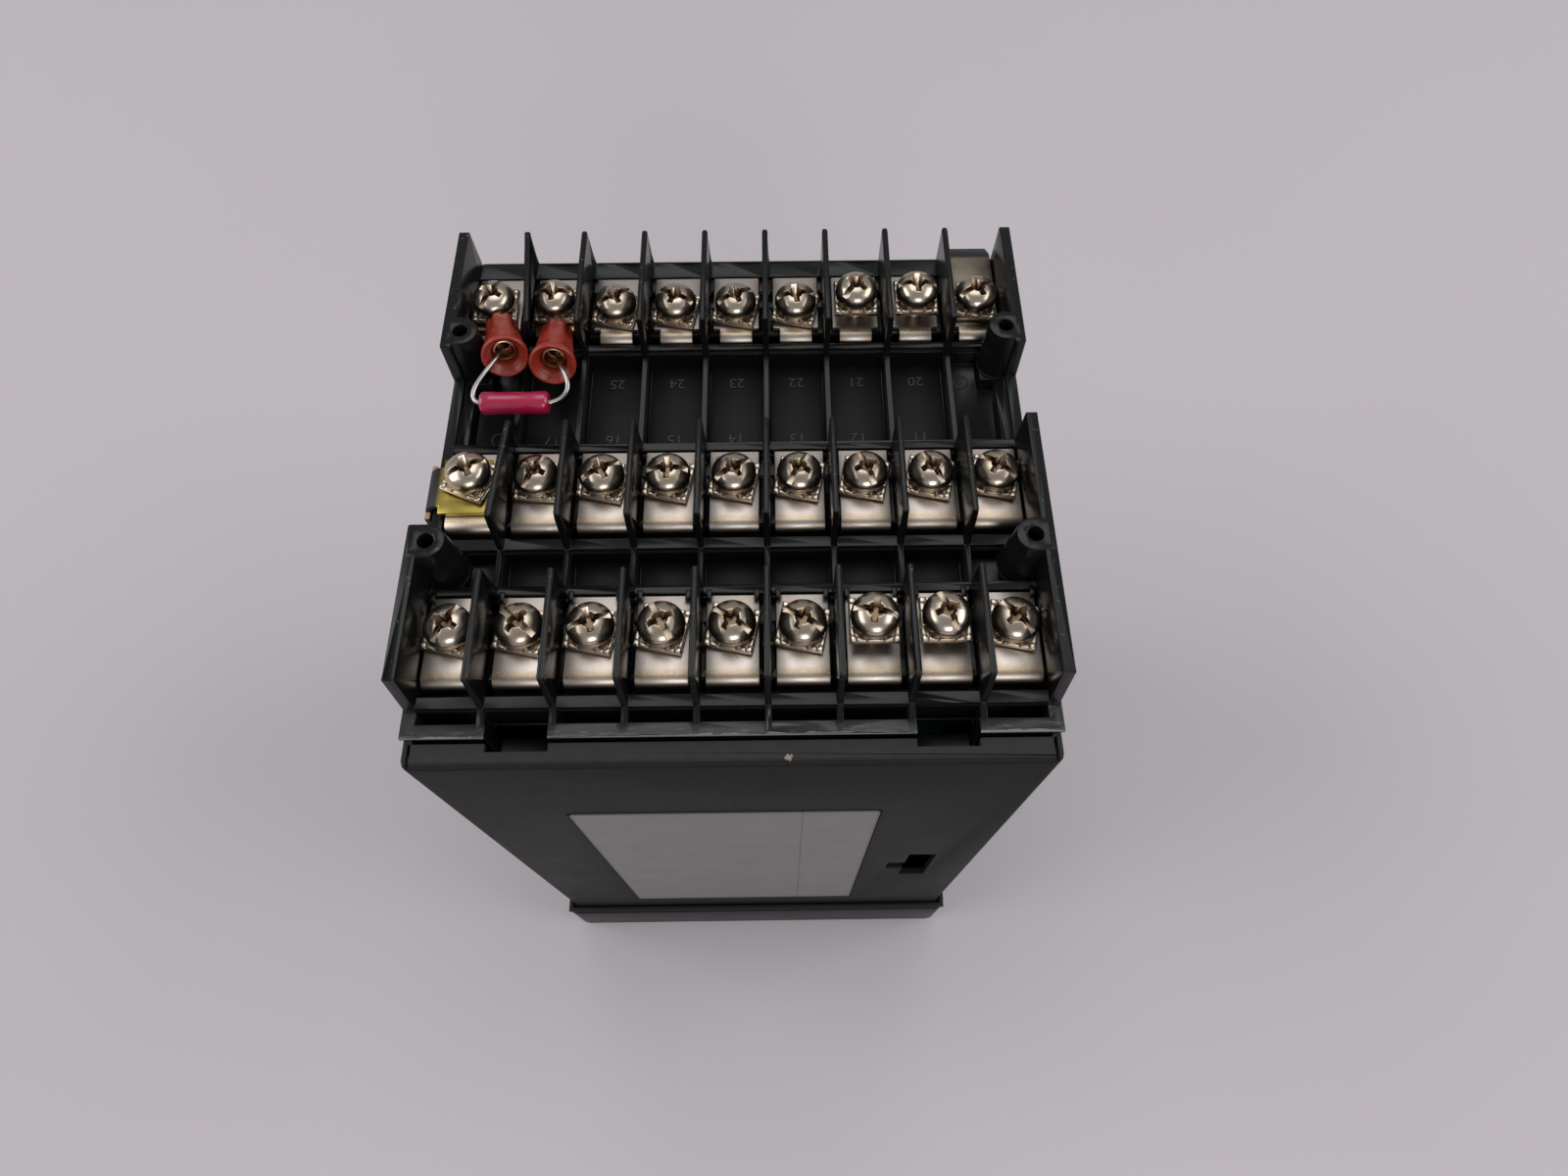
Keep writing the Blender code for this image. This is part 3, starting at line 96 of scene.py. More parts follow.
class Shader:
    """One material's node tree with its Principled surface.

    Args:
        name: The material's name.
    """

    def __init__(self, name: str) -> None:
        """Start a material with an unlinked surface."""
        self.material = bpy.data.materials.new(name)
        self.material.use_nodes = True
        self.tree = self.material.node_tree
        self.surface = self.tree.nodes["Principled BSDF"]
        self.place = self.node("ShaderNodeTexCoord").outputs["Object"]

    def node(
        self, kind: str, settings: dict[str, object] | None = None, sockets: dict | None = None
    ) -> bpy.types.Node:
        """Add a node.

        Args:
            kind: The node's type.
            settings: Its properties.
            sockets: Values or links of its sockets, by name or number.

        Returns:
            The new node.
        """
        made = self.tree.nodes.new(kind)
        for key, value in (settings or {}).items():
            setattr(made, key, value)
        for key, value in (sockets or {}).items():
            self.feed(made.inputs[key], value)
        return made

    def feed(self, socket: Socket, value: object) -> None:
        """Link a socket to another, or set its value.

        Args:
            socket: The socket to feed.
            value: A Value or socket to link, or a number or colour.
        """
        if isinstance(value, Value):
            value = value.socket
        if isinstance(value, Socket):
            self.tree.links.new(value, socket)
        elif isinstance(value, tuple) and len(value) == 3 and socket.type == "RGBA":
            socket.default_value = (*value, 1.0)
        else:
            socket.default_value = value

    def surface_is(self, **sockets: object) -> None:
        """Feed the surface's sockets, given with underscores for spaces."""
        for key, value in sockets.items():
            self.feed(self.surface.inputs[key.replace("_", " ")], value)

    def base_colour(self) -> Socket:
        """The colour that the surface is fed so far."""
        return self.surface.inputs["Base Color"].links[0].from_socket

    def axis(self, letter: str) -> Value:
        """One coordinate of the surface point, in millimetres."""
        split = self.node("ShaderNodeSeparateXYZ", sockets={0: self.place})
        return Value(self, split.outputs[letter]) / MM

    def attribute(self, name: str) -> Value:
        """A number that the mesh holds for each of its points."""
        found = self.node("ShaderNodeAttribute", {"attribute_name": name})
        return Value(self, found.outputs["Fac"])

    def noise(
        self, size: float, detail: float = 2.0, roughness: float = 0.5, stretch: Triple = (1, 1, 1)
    ) -> Value:
        """Smooth noise from 0 to 1.

        Args:
            size: Width of a spot, in metres.
            detail: Octaves of finer noise.
            roughness: Strength of the finer octaves.
            stretch: How much longer the spots are along each axis.

        Returns:
            The noise's value.
        """
        scale = tuple(1 / (size * s) for s in stretch)
        mapped = self.node("ShaderNodeMapping", sockets={"Vector": self.place, "Scale": scale})
        sockets = {"Vector": mapped.outputs[0], "Scale": 1.0}
        sockets |= {"Detail": detail, "Roughness": roughness}
        made = self.node("ShaderNodeTexNoise", {"noise_dimensions": "3D"}, sockets)
        return Value(self, made.outputs[0])

    def speckle(self, size: float) -> Value:
        """Distance to the nearest of scattered points, from 0 at a point to about 1.

        Args:
            size: Distance between the points, in metres.

        Returns:
            The distance's value.
        """
        sockets = {"Vector": self.place, "Scale": 1 / size, "Randomness": 1.0}
        made = self.node("ShaderNodeTexVoronoi", {"feature": "F1"}, sockets)
        return Value(self, made.outputs["Distance"])

    def mix(self, share: Value | float, first: object, second: object) -> Socket:
        """Blend two colours, given as tuples or links."""
        made = self.node("ShaderNodeMix", {"data_type": "RGBA"}, {0: share, 6: first, 7: second})
        return made.outputs[2]

    def layers(self, base: object, *coats: tuple[Value, Triple]) -> object:
        """Lay colours over a base, one after another.

        Args:
            base: The colour at the bottom, as a tuple or link.
            *coats: The share and the colour of each coat.

        Returns:
            The colour on top.
        """
        for share, colour in coats:
            base = self.mix(share, base, colour)
        return base

    def bump(self, height: Value, depth: float, strength: float = 1.0) -> None:
        """Tilt the surface by a relief whose height of 1 is as deep as stated, in metres."""
        sockets = {"Height": height, "Distance": depth, "Strength": strength}
        self.surface_is(Normal=self.node("ShaderNodeBump", sockets=sockets).outputs[0])


def math_operator(operation: str) -> Callable[[Value, object], Value]:
    """A method of Value that joins it and another value in a Math node.

    Args:
        operation: The node's operation.

    Returns:
        The method.
    """

    def join(self: Value, other: object) -> Value:
        """The two values joined."""
        return self.math(operation, other)

    return join


class Value:
    """A number socket of a shader that takes part in Python arithmetic.

    Args:
        shader: The tree that holds the socket.
        socket: The socket that gives the number.
    """

    def __init__(self, shader: Shader, socket: Socket) -> None:
        """Hold a socket and its tree."""
        self.shader = shader
        self.socket = socket

    def math(self, operation: str, *others: object) -> Value:
        """Add a Math node on this value and others.

        Args:
            operation: The node's operation.
            *others: Up to two more values, links or numbers.

        Returns:
            The node's value.
        """
        sockets = dict(enumerate((self, *others)))
        made = self.shader.node("ShaderNodeMath", {"operation": operation}, sockets)
        return Value(self.shader, made.outputs[0])

    __add__ = __radd__ = math_operator("ADD")
    __mul__ = __rmul__ = math_operator("MULTIPLY")
    __sub__ = math_operator("SUBTRACT")
    __truediv__ = math_operator("DIVIDE")
    __pow__ = math_operator("POWER")
    least = math_operator("MINIMUM")
    most = math_operator("MAXIMUM")
    fold = math_operator("PINGPONG")  # back and forth between 0 and a width

    def __rsub__(self, other: float) -> Value:
        """A number less this value."""
        return self.math("MULTIPLY_ADD", -1.0, other)

    def size(self) -> Value:
        """The value without its sign."""
        return self.math("ABSOLUTE")

    def rise(self, low: float, high: float) -> Value:
        """Step smoothly from 0 to 1, upwards or downwards.

        Args:
            low: Where the step is at 0.
            high: Where it is at 1, which may be the smaller.

        Returns:
            The step's value.
        """
        sockets = {"Value": self, "From Min": low, "From Max": high}
        settings = {"interpolation_type": "SMOOTHSTEP"}
        made = self.shader.node("ShaderNodeMapRange", settings, sockets)
        return Value(self.shader, made.outputs[0])


# Finishes


def tinted(colour: Triple, factor: float) -> Triple:
    """A colour made lighter or darker by a factor."""
    return tuple(factor * c for c in colour)


@dataclass(frozen=True)
class Finish:
    """A named material, which each kind of finish paints in its own way."""

    name: str

    def paint(self, made: Shader) -> None:
        """Feed the surface of a new node tree.

        Args:
            made: The tree to feed.
        """
        raise NotImplementedError

    def build(self) -> Material:
        """Paint the material.

        Returns:
            The finished material.
        """
        made = Shader(self.name)
        self.paint(made)
        return made.material


@dataclass(frozen=True)
class Plastic(Finish):
    """Moulded plastic with a fine grain, cloudy gloss and scuffs."""

    colour: Triple
    roughness: float = 0.4
    cloud: float = 0.12
    sheen: float = 0.35
    grain_depth: float = 0.004 * MM
    grain_size: float = 0.16 * MM
    scuffs: float = 0.0
    scuff_colour: Triple = (0.07, 0.07, 0.07)

    def paint(self, made: Shader) -> None:
        """Clouds in the tone and the gloss, under scuffs if there are any.

        Args:
            made: The tree to feed.
        """
        clouds = made.noise(9 * MM, 4)
        fine = made.noise(0.9 * MM, 3)
        tone = made.mix(clouds, self.colour, tinted(self.colour, 1.35))
        rough = self.roughness + self.cloud * (clouds - 0.5) + 0.08 * (fine - 0.5)
        if self.scuffs:
            worn = self._scuffed(made)
            tone = made.mix(worn * self.scuffs, tone, self.scuff_colour)
            rough = rough + 0.2 * worn
        made.surface_is(Base_Color=tone, Roughness=rough, Specular_IOR_Level=self.sheen)
        made.bump(made.noise(self.grain_size, 2), self.grain_depth)

    @staticmethod
    def _scuffed(made: Shader) -> Value:
        """Thin scuffed streaks that lie in patches.

        Args:
            made: The tree that they are for.

        Returns:
            Where they lie, from 0 to 1.
        """
        patch = made.noise(14 * MM, 2).rise(0.5, 0.68)
        along = made.noise(0.35 * MM, 2, stretch=(22, 1.2, 1.2)).rise(0.66, 0.74)
        across = made.noise(0.3 * MM, 2, stretch=(1.5, 1.5, 18)).rise(0.68, 0.76)
        return along.most(across) * patch


@dataclass(frozen=True)
class BlockPlastic(Plastic):
    """Glossy black of the terminal block, with rubs and painted highlight on its foot flange and
    nicks on its crests.
    """

    flange_top: float = 0.0
    flange_edge: float = 0.0
    crest: float = 0.0
    # grey of the flange's rubs and painted highlight, and of the crests' nicks
    rub_and_sheen: Triple = (0.24, 0.24, 0.25)

    def paint(self, made: Shader) -> None:
        """Lighten the flange's top and ragged front edge with rubs and painted highlight, and nick
        the crests.

        Args:
            made: The tree to feed.
        """
        super().paint(made)
        height = made.axis("Z")
        level = (height - self.flange_top / MM).size().rise(0.4, 0.1)
        inward = made.axis("Y") - self.flange_edge / MM
        grain = made.noise(0.55 * MM, 5, 0.7, stretch=(7, 1, 1))
        streaks = grain.rise(0.52, 0.66) * inward.rise(2.4, 0.6)
        # painted highlight: a bright ragged line along the flange's front edge
        ragged = (inward + (grain - 0.5) * 1.6).rise(0.34, 0.2)
        # flange top: rub streaks over a faint, even painted sheen
        flange = level * (streaks * 0.22 + 0.1).most(ragged * 0.75)
        crest = (height - self.crest / MM).rise(-0.4, 0.0)
        nicks = made.noise(0.8 * MM, 3).rise(0.66, 0.74)
        worn = flange.most(crest * nicks * 0.25)
        made.surface_is(Base_Color=made.mix(worn, made.base_colour(), self.rub_and_sheen))


@dataclass(frozen=True)
class CasePlastic(Plastic):
    """Satin black of the case, with a few long scratches and one pale chip on its rear band."""

    chip: Triple = (0.0, 0.0, 0.0)
    chip_radius: float = 0.5
    chip_colour: Triple = (0.3, 0.24, 0.21)
    scratch_colour: Triple = (0.12, 0.12, 0.12)
    rim: float = 0.0
    # lighter grey of rub and painted sheen on the rear rim
    rim_sheen_colour: Triple = (0.045, 0.045, 0.046)

    def paint(self, made: Shader) -> None:
        """Scratch the sides, lighten the rear rim with rub and painted sheen, and chip the band.

        Args:
            made: The tree to feed.
        """
        super().paint(made)
        # partly rub, partly painted sheen: the top millimetre of the case, at its rear rim, turns
        # lighter in patches
        rub_and_sheen = (made.axis("Z") - self.rim / MM).rise(-1.0, -0.2)
        spread = 0.0
        for letter, middle in zip("XYZ", self.chip):
            spread = (made.axis(letter) - middle / MM) ** 2.0 + spread
        ragged = spread**0.5 + (made.noise(0.5 * MM, 3) - 0.5) * 1.4
        tone = made.layers(
            made.base_colour(),
            (self._scratches(made) * 0.3, self.scratch_colour),
            (rub_and_sheen * (made.noise(2 * MM, 4) * 0.5 + 0.5), self.rim_sheen_colour),
            (ragged.rise(self.chip_radius + 0.06, self.chip_radius - 0.06), self.chip_colour),
        )
        made.surface_is(Base_Color=tone)

    @staticmethod
    def _scratches(made: Shader) -> Value:
        """Hairlines where a warped coordinate crosses whole numbers, kept to a few patches.

        Args:
            made: The tree that they are for.

        Returns:
            Where they lie, from 0 to 1.
        """
        warp = made.noise(24 * MM, 2) * 26.0
        lines = (made.axis("X") * 0.55 + made.axis("Z") * 0.22 + warp).fold(4.0)
        patch = made.noise(11 * MM, 1).rise(0.6, 0.66)
        return lines.rise(0.05, 0.015) * patch


@dataclass(frozen=True)
class Plated(Finish):
    """Plated metal with a warm tarnish, fine specks and rub streaks with painted glints.

    Points may hold "wear", a golden rub whose pale specks are partly painted glint, "shade",
    painted shade in dark brown, "recess", painted shade inside a driver slot, "dark", a painted
    shadow that blackens an end, and "cut", a bare sheared edge.
    """

    colour: Triple
    tarnish: Triple
    roughness: float = 0.26
    tarnished: float = 0.35
    specks: float = 0.4
    # pale gold of rub specks, partly a painted glint
    rub_and_sheen: Triple = (0.95, 0.8, 0.5)
    # dark brown of painted shade inside a driver slot
    recess: Triple = (0.11, 0.06, 0.025)
    # near black of a painted shadow
    shadow_black: Triple = (0.012, 0.013, 0.015)
    cut_end: Triple = (0.5, 0.27, 0.14)

    def paint(self, made: Shader) -> None:
        """Lay the tarnish, the rubs and their painted glints, the specks and the marked stretches
        over the metal.

        Args:
            made: The tree to feed.
        """
        clouds = made.noise(2.6 * MM, 4, 0.6)
        wear_and_glint, dark = made.attribute("wear_and_glint"), made.attribute("dark")
        grit = made.speckle(0.36 * MM).rise(0.42, 0.24)
        where = made.noise(1.1 * MM, 3).rise(0.36, 0.52)
        # pale specks where "wear" is marked: rubs, partly a painted glint
        rub_glints = grit * where * wear_and_glint.rise(0.15, 0.7)
        pits = made.speckle(0.75 * MM).rise(0.16, 0.08) * made.noise(3 * MM, 1).rise(0.45, 0.6)
        tone = made.layers(
            self.colour,
            (clouds.rise(0.4, 0.75) * self.tarnished, self.tarnish),
            # golden tint where "wear" is marked: partly rub, partly painted glint
            (wear_and_glint * 0.7, self.tarnish),
            (rub_glints * 0.85, self.rub_and_sheen),
            (pits * self.specks, tinted(self.tarnish, 0.25)),
            # painted shade in dark brown where "shade" is marked
            (made.attribute("shade") * 0.75, tinted(self.tarnish, 0.3)),
            # painted shade inside a driver slot, where "recess" is marked
            (made.attribute("recess") * 0.85, self.recess),
            # painted shadow, near black and less metallic, where "dark" is marked
            (dark, self.shadow_black),
            (made.attribute("cut"), self.cut_end),
        )
        rough = self.roughness + 0.14 * (clouds - 0.5) + 0.2 * rub_glints + 0.2 * dark
        made.surface_is(Base_Color=tone, Metallic=1.0 - 0.8 * dark, Roughness=rough)
        made.bump(made.noise(0.35 * MM, 3), 0.006 * MM)


@dataclass(frozen=True)
class Clear(Finish):
    """Tinted see-through plastic or lacquer."""

    colour: Triple
    roughness: float = 0.2
    transmission: float = 0.0
    subsurface: float = 0.0
    coat: float = 0.0
    mottle: float = 0.25

    def paint(self, made: Shader) -> None:
        """Mottle the tint and smear it, under a coat if there is one.

        Args:
            made: The tree to feed.
        """
        clouds = made.noise(1.8 * MM, 3)
        smears = made.noise(0.8 * MM, 3, stretch=(1, 4, 1)).rise(0.5, 0.75)
        pale = tuple(min(1.0, 1.3 * c + 0.02) for c in self.colour)
        tint = made.mix(clouds, tinted(self.colour, 1 - self.mottle), self.colour)
        made.surface_is(
            Base_Color=made.mix(smears * self.mottle, tint, pale),
            Roughness=self.roughness + 0.1 * (clouds - 0.5),
            Transmission_Weight=self.transmission,
            Subsurface_Weight=self.subsurface,
            Subsurface_Scale=1.2 * MM,
            Coat_Weight=self.coat,
            Coat_Roughness=0.08,
            IOR=1.5,
        )
        made.bump(clouds, 0.02 * MM, 0.5)


@dataclass(frozen=True)
class LabelFilm(Finish):
    """Bare grey film with a thin border and one dividing line."""

    low: Vector
    high: Vector
    divider: float
    paper: Triple = (0.168, 0.16, 0.152)
    dust: Triple = (0.4, 0.39, 0.37)
    ink: Triple = (0.05, 0.05, 0.05)
    line: float = 0.16
    inset: float = 0.25

    def paint(self, made: Shader) -> None:
        """Rule the border and the divider on clouded, dusty film.

        Args:
            made: The tree to feed.
        """
        x, z = made.axis("X"), made.axis("Z")
        border = (x - self.low.x / MM).least(self.high.x / MM - x)
        border = border.least(z - self.low.z / MM).least(self.high.z / MM - z)
        inked = (border - self.inset).size().least((x - self.divider / MM).size())
        clouds = made.noise(7 * MM, 4)
        tone = made.layers(
            made.mix(clouds, tinted(self.paper, 0.86), self.paper),
            (made.noise(0.7 * MM, 4).rise(0.6, 0.75) * 0.12, self.dust),
            (inked.rise(self.line, self.line * 0.6) * 0.85, self.ink),
        )
        rough = 0.36 + 0.16 * (clouds - 0.5)
        made.surface_is(Base_Color=tone, Roughness=rough, Metallic=0.0)
        made.bump(made.noise(3.5 * MM, 3), 0.02 * MM, 0.6)


@dataclass(frozen=True)
class Board(Finish):
    """Green circuit board with faint tracks under the solder resist."""

    colour: Triple = (0.015, 0.12, 0.045)

    def paint(self, made: Shader) -> None:
        """Run tracks across in some patches and along in the others.

        Args:
            made: The tree to feed.
        """
        across = made.axis("X").fold(1.6).rise(0.5, 0.42)
        along = made.axis("Z").fold(2.4).rise(0.45, 0.38)
        share = made.noise(8 * MM, 1).rise(0.48, 0.52)
        tracks = across * share + along * (1 - share)
        tone = made.mix(tracks * 0.6, self.colour, tinted(self.colour, 1.7))
        made.surface_is(Base_Color=tone, Roughness=0.34 + 0.1 * (made.noise(5 * MM, 3) - 0.5))
        made.bump(tracks, 0.03 * MM)


@dataclass(frozen=True)
class Winding(Finish):
    """Laminated steel core round a coil wrapped in amber tape."""

    half_width: float = 12.2
    steel: Triple = (0.1, 0.1, 0.105)
    tape: Triple = (0.42, 0.24, 0.04)

    def paint(self, made: Shader) -> None:
        """Part the coil from the core, and the core into its sheets.

        Args:
            made: The tree to feed.
        """
        coil = made.axis("X").size().rise(self.half_width, self.half_width - 0.2)
        sheets = made.axis("Y").fold(0.35).rise(0.05, 0.3)
        steel = made.mix(sheets, tinted(self.steel, 0.4), self.steel)
        tape = made.mix(made.noise(4 * MM, 3), self.tape, tinted(self.tape, 1.5))
        made.surface_is(
            Base_Color=made.mix(coil, steel, tape),
            Metallic=(1 - coil) * 0.6,
            Roughness=0.3 + 0.15 * sheets,
        )
        made.bump(sheets * (1 - coil), 0.05 * MM)


@dataclass(frozen=True)
class FloorFinish(Finish):
    """Matt pale floor, a shade cooler than white."""

    colour: Triple = (0.56, 0.52, 0.55)

    def paint(self, made: Shader) -> None:
        """Cloud the floor a little.

        Args:
            made: The tree to feed.
        """
        clouds = made.noise(160 * MM, 3)
        tone = made.mix(clouds, tinted(self.colour, 0.96), self.colour)
        made.surface_is(Base_Color=tone, Roughness=0.85)


# Mesh helpers


def turned(angle: float, axis: str = "Z") -> Matrix:
    """Rotation about an axis by an angle in degrees."""
    return Matrix.Rotation(math.radians(angle), 4, axis)


def middle_of(node: str) -> Vector:
    """Middle of a CAD node's box."""
    low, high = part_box(node)
    return (low + high) / 2


def in_mm(points: Iterable[Sequence[float]]) -> list[tuple[float, ...]]:
    """Points that are given in millimetres, in metres."""
    return [tuple(a * MM for a in point) for point in points]


def faces_of(verts: Iterable[BMVert]) -> list[bmesh.types.BMFace]:
    """The faces that touch some vertices."""
    return list(dict.fromkeys(f for v in verts for f in v.link_faces))


def edges_of(verts: Iterable[BMVert]) -> list[BMEdge]:
    """Find the edges whose ends are both among some vertices.

    Args:
        verts: The vertices.

    Returns:
        The edges, in the order of their places.
    """
    chosen = set(verts)
    found = {e for v in chosen for e in v.link_edges if e.other_vert(v) in chosen}
    return sorted(found, key=lambda e: tuple(e.verts[0].co) + tuple(e.verts[1].co))


def sharp_edges(
    bm: BMesh, angle: float, wanted: Callable[[Vector, Vector], bool] = lambda a, b: True
) -> list[BMEdge]:
    """Find the edges that are sharp.

    Args:
        bm: The mesh.
        angle: How far the faces at such an edge turn at least, in degrees.
        wanted: Whether an edge between two ends counts.

    Returns:
        The edges.
    """
    limit = math.radians(angle)
    return [
        e
        for e in bm.edges
        if len(e.link_faces) == 2
        and e.calc_face_angle(0.0) > limit
        and wanted(e.verts[0].co, e.verts[1].co)
    ]


def bevel(
    bm: BMesh, edges: list[BMEdge], width: float, segments: int = 2, clamp: bool = True
) -> None:
    """Round some edges of a mesh.

    Args:
        bm: The mesh.
        edges: The edges to round.
        width: How far the rounding reaches from each edge.
        segments: Faces across it.
        clamp: Whether it stops where it would overlap another.
    """
    bmesh.ops.bevel(
        bm,
        geom=edges,
        offset=width,
        segments=segments,
        profile=0.5,
        affect="EDGES",
        material=-1,
        clamp_overlap=clamp,
    )


def split_polygons(bm: BMesh) -> None:
    """Split faces of more than four corners, so that a crowded bevel spoils only its own corner."""
    many = [f for f in bm.faces if len(f.verts) > 4]
    bmesh.ops.triangulate(bm, faces=many, quad_method="BEAUTY", ngon_method="BEAUTY")


def soften(bm: BMesh, width: float, clamp: bool = False) -> None:
    """Round every sharp edge by a width, and clamp it if asked to."""
    split_polygons(bm)
    bevel(bm, sharp_edges(bm, 40), width, clamp=clamp)


def new_box(bm: BMesh, low: Iterable[float], high: Iterable[float]) -> list[BMVert]:
    """Add a box.

    Args:
        bm: The mesh to add to.
        low: Lowest corner.
        high: Highest corner.

    Returns:
        The box's vertices.
    """
    a, b = Vector(low), Vector(high)
    place = Matrix.Translation((a + b) / 2) @ Matrix.Diagonal((*(b - a), 1.0))
    return bmesh.ops.create_cube(bm, size=1.0, matrix=place)["verts"]


def round_box(
    bm: BMesh, low: Iterable[float], high: Iterable[float], width: float, segments: int = 2
) -> None:
    """Add a box between two corners, its edges rounded by a width."""
    bevel(bm, edges_of(new_box(bm, low, high)), width, segments)


def new_rod(
    bm: BMesh, radii: Pair, length: float, place: Matrix | Sequence[float], segments: int
) -> None:
    """Add a rod, cone or prism.

    Args:
        bm: The mesh to add to.
        radii: Radius at its low end and at its high end.
        length: Its length.
        place: Its middle, or the place that its axis is turned to.
        segments: Corners of its section.
    """
    bmesh.ops.create_cone(
        bm,
        cap_ends=True,
        segments=segments,
        radius1=radii[0],
        radius2=radii[1],
        depth=length,
        matrix=place if isinstance(place, Matrix) else Matrix.Translation(place),
    )


def new_ball(bm: BMesh, radius: float, place: Matrix) -> None:
    """Add a ball of triangles."""
    bmesh.ops.create_icosphere(bm, subdivisions=2, radius=radius, matrix=place)


def spin_profile(
    bm: BMesh, profile: Sequence[Pair], place: Matrix | None = None, steps: int = 48
) -> list[BMVert]:
    """Turn (radius, height) points about the Z axis of a place into a closed solid.

    Args:
        bm: The mesh to add to.
        profile: Points from the axis and back to it, or a closed loop off it.
        place: Where the axis stands, if not at the origin.
        steps: Faces in a full turn.

    Returns:
        The new vertices.
    """
    old = set(bm.verts)
    verts = [bm.verts.new((radius, 0.0, height)) for radius, height in profile]
    edges = [bm.edges.new(pair) for pair in zip(verts, verts[1:])]
    if profile[0][0] > 0.0:
        edges.append(bm.edges.new((verts[-1], verts[0])))
    bmesh.ops.spin(
        bm,
        geom=verts + edges,
        cent=(0, 0, 0),
        axis=(0, 0, 1),
        dvec=(0, 0, 0),
        angle=math.tau,
        steps=steps,
        use_merge=True,
    )
    fresh = [v for v in bm.verts if v not in old]
    bmesh.ops.remove_doubles(bm, verts=fresh, dist=WELD / 4)
    fresh = [v for v in bm.verts if v not in old]
    bmesh.ops.recalc_face_normals(bm, faces=faces_of(fresh))
    if place is not None:
        bmesh.ops.transform(bm, matrix=place, verts=fresh)
    return fresh


def extrude_outline(bm: BMesh, points: Iterable[Vector], along: Vector) -> list[BMVert]:
    """Extrude a flat closed outline into a prism.

    Args:
        bm: The mesh to add to.
        points: Corners of the outline.
        along: The extrusion.

    Returns:
        The prism's vertices.
    """
    base = bm.faces.new([bm.verts.new(p) for p in points])
    made = bmesh.ops.extrude_face_region(bm, geom=[base], use_keep_orig=True)
    top = [g for g in made["geom"] if isinstance(g, BMVert)]
    bmesh.ops.translate(bm, verts=top, vec=along)
    verts = list(base.verts) + top
    bmesh.ops.recalc_face_normals(bm, faces=faces_of(verts))
    return verts


def arc(centre: Pair, radius: float, start: float, end: float, steps: int) -> list[Pair]:
    """Points of an arc about a centre, from one angle to another in degrees."""
    angles = [math.radians(start + (end - start) * i / steps) for i in range(steps + 1)]
    return [(centre[0] + radius * math.cos(a), centre[1] + radius * math.sin(a)) for a in angles]


def opened(mesh: Mesh) -> BMesh:
    """Open a mesh for editing.

    Args:
        mesh: The mesh.

    Returns:
        A bmesh that holds it.
    """
    bm = bmesh.new()
    bm.from_mesh(mesh)
    return bm


def to_mesh(bm: BMesh, name: str) -> Mesh:
    """Turn a bmesh into a mesh and free it.

    Args:
        bm: The bmesh.
        name: The mesh's name.

    Returns:
        The mesh.
    """
    mesh = bpy.data.meshes.new(name)
    bm.to_mesh(mesh)
    bm.free()
    return mesh


def welded_copy(node: str) -> BMesh:
    """Copy a CAD node as welded flat faces.

    Args:
        node: The CAD node.

    Returns:
        The copy.
    """
    bm = opened(bpy.data.objects[node].data)
    bmesh.ops.remove_doubles(bm, verts=bm.verts, dist=WELD)
    bmesh.ops.dissolve_limit(bm, angle_limit=math.radians(0.5), verts=bm.verts, edges=bm.edges)
    return bm


def add_object(name: str, data: bpy.types.ID) -> bpy.types.Object:
    """Put an object into the scene.

    Args:
        name: Its name.
        data: Its mesh, curve, lamp or camera.

    Returns:
        The object.
    """
    made = bpy.data.objects.new(name, data)
    bpy.context.scene.collection.objects.link(made)
    return made


def evaluated_mesh(*objects: bpy.types.Object) -> Mesh:
    """Take the finished mesh of an object out of the scene, and remove it.

    Args:
        *objects: The object, and the others that it was made with.

    Returns:
        Its mesh, with its modifiers applied.
    """
    graph = bpy.context.evaluated_depsgraph_get()
    made = bpy.data.meshes.new_from_object(objects[0].evaluated_get(graph))
    for obj in objects:
        bpy.data.objects.remove(obj, do_unlink=True)
    return made


def cut_mesh(mesh: Mesh, cutters: Sequence[Mesh]) -> Mesh:
    """Cut meshes from another.

    Args:
        mesh: The mesh to cut.
        cutters: Closed meshes that are taken away one by one.

    Returns:
        The cut mesh.
    """
    blank = add_object("blank", mesh)
    tools = [add_object("tool", cutter) for cutter in cutters]
    for tool in tools:
        modifier = blank.modifiers.new("cut", "BOOLEAN")
        modifier.operation = "DIFFERENCE"
        modifier.object = tool
    return evaluated_mesh(blank, *tools)


def mark_points(mesh: Mesh, name: str, measure: Callable[[Vector], float]) -> None:
    """Store a number for each point of a mesh.

    Args:
        mesh: The mesh.
        name: What the finish knows the number by.
        measure: Gives the number at a place.
    """
    layer = mesh.attributes.new(name, "FLOAT", "POINT")
    for vertex, entry in zip(mesh.vertices, layer.data):
        entry.value = measure(vertex.co)


def add_piece(
    name: str,
    mesh: Mesh,
    material: Material,
    node: str = "",
    body: str = Body.CASE,
    smooth: float = 32.0,
) -> None:
    """Show a finished mesh as a piece of the object.

    Args:
        name: The piece's name.
        mesh: Its mesh, in place.
        material: Its finish.
        node: The CAD node that it stands for, if any.
        body: The CAD body that it rides on.
        smooth: Edges that turn by less than this many degrees are shaded smooth.
    """
    mesh.materials.clear()
    mesh.materials.append(material)
    mesh.shade_smooth()
    mesh.set_sharp_from_angle(angle=math.radians(smooth))
    piece = add_object(name, mesh)
    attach(piece, str(body))
    if node:
        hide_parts(node)
    LOG.info("%s rides on %s, %d faces", name, body, len(mesh.polygons))


def soften_node(
    node: str, name: str, material: Material, width: float, body: str = Body.CHASSIS
) -> None:
    """Stand a copy with rounded edges in for a CAD node.

    Args:
        node: The CAD node.
        name: The new piece's name.
        material: Its finish.
        width: How far the rounding reaches from each edge.
        body: The CAD body that it rides on.
    """
    bm = welded_copy(node)
    soften(bm, width, clamp=True)
    add_piece(name, to_mesh(bm, name), material, node, body)


# Sub-assemblies


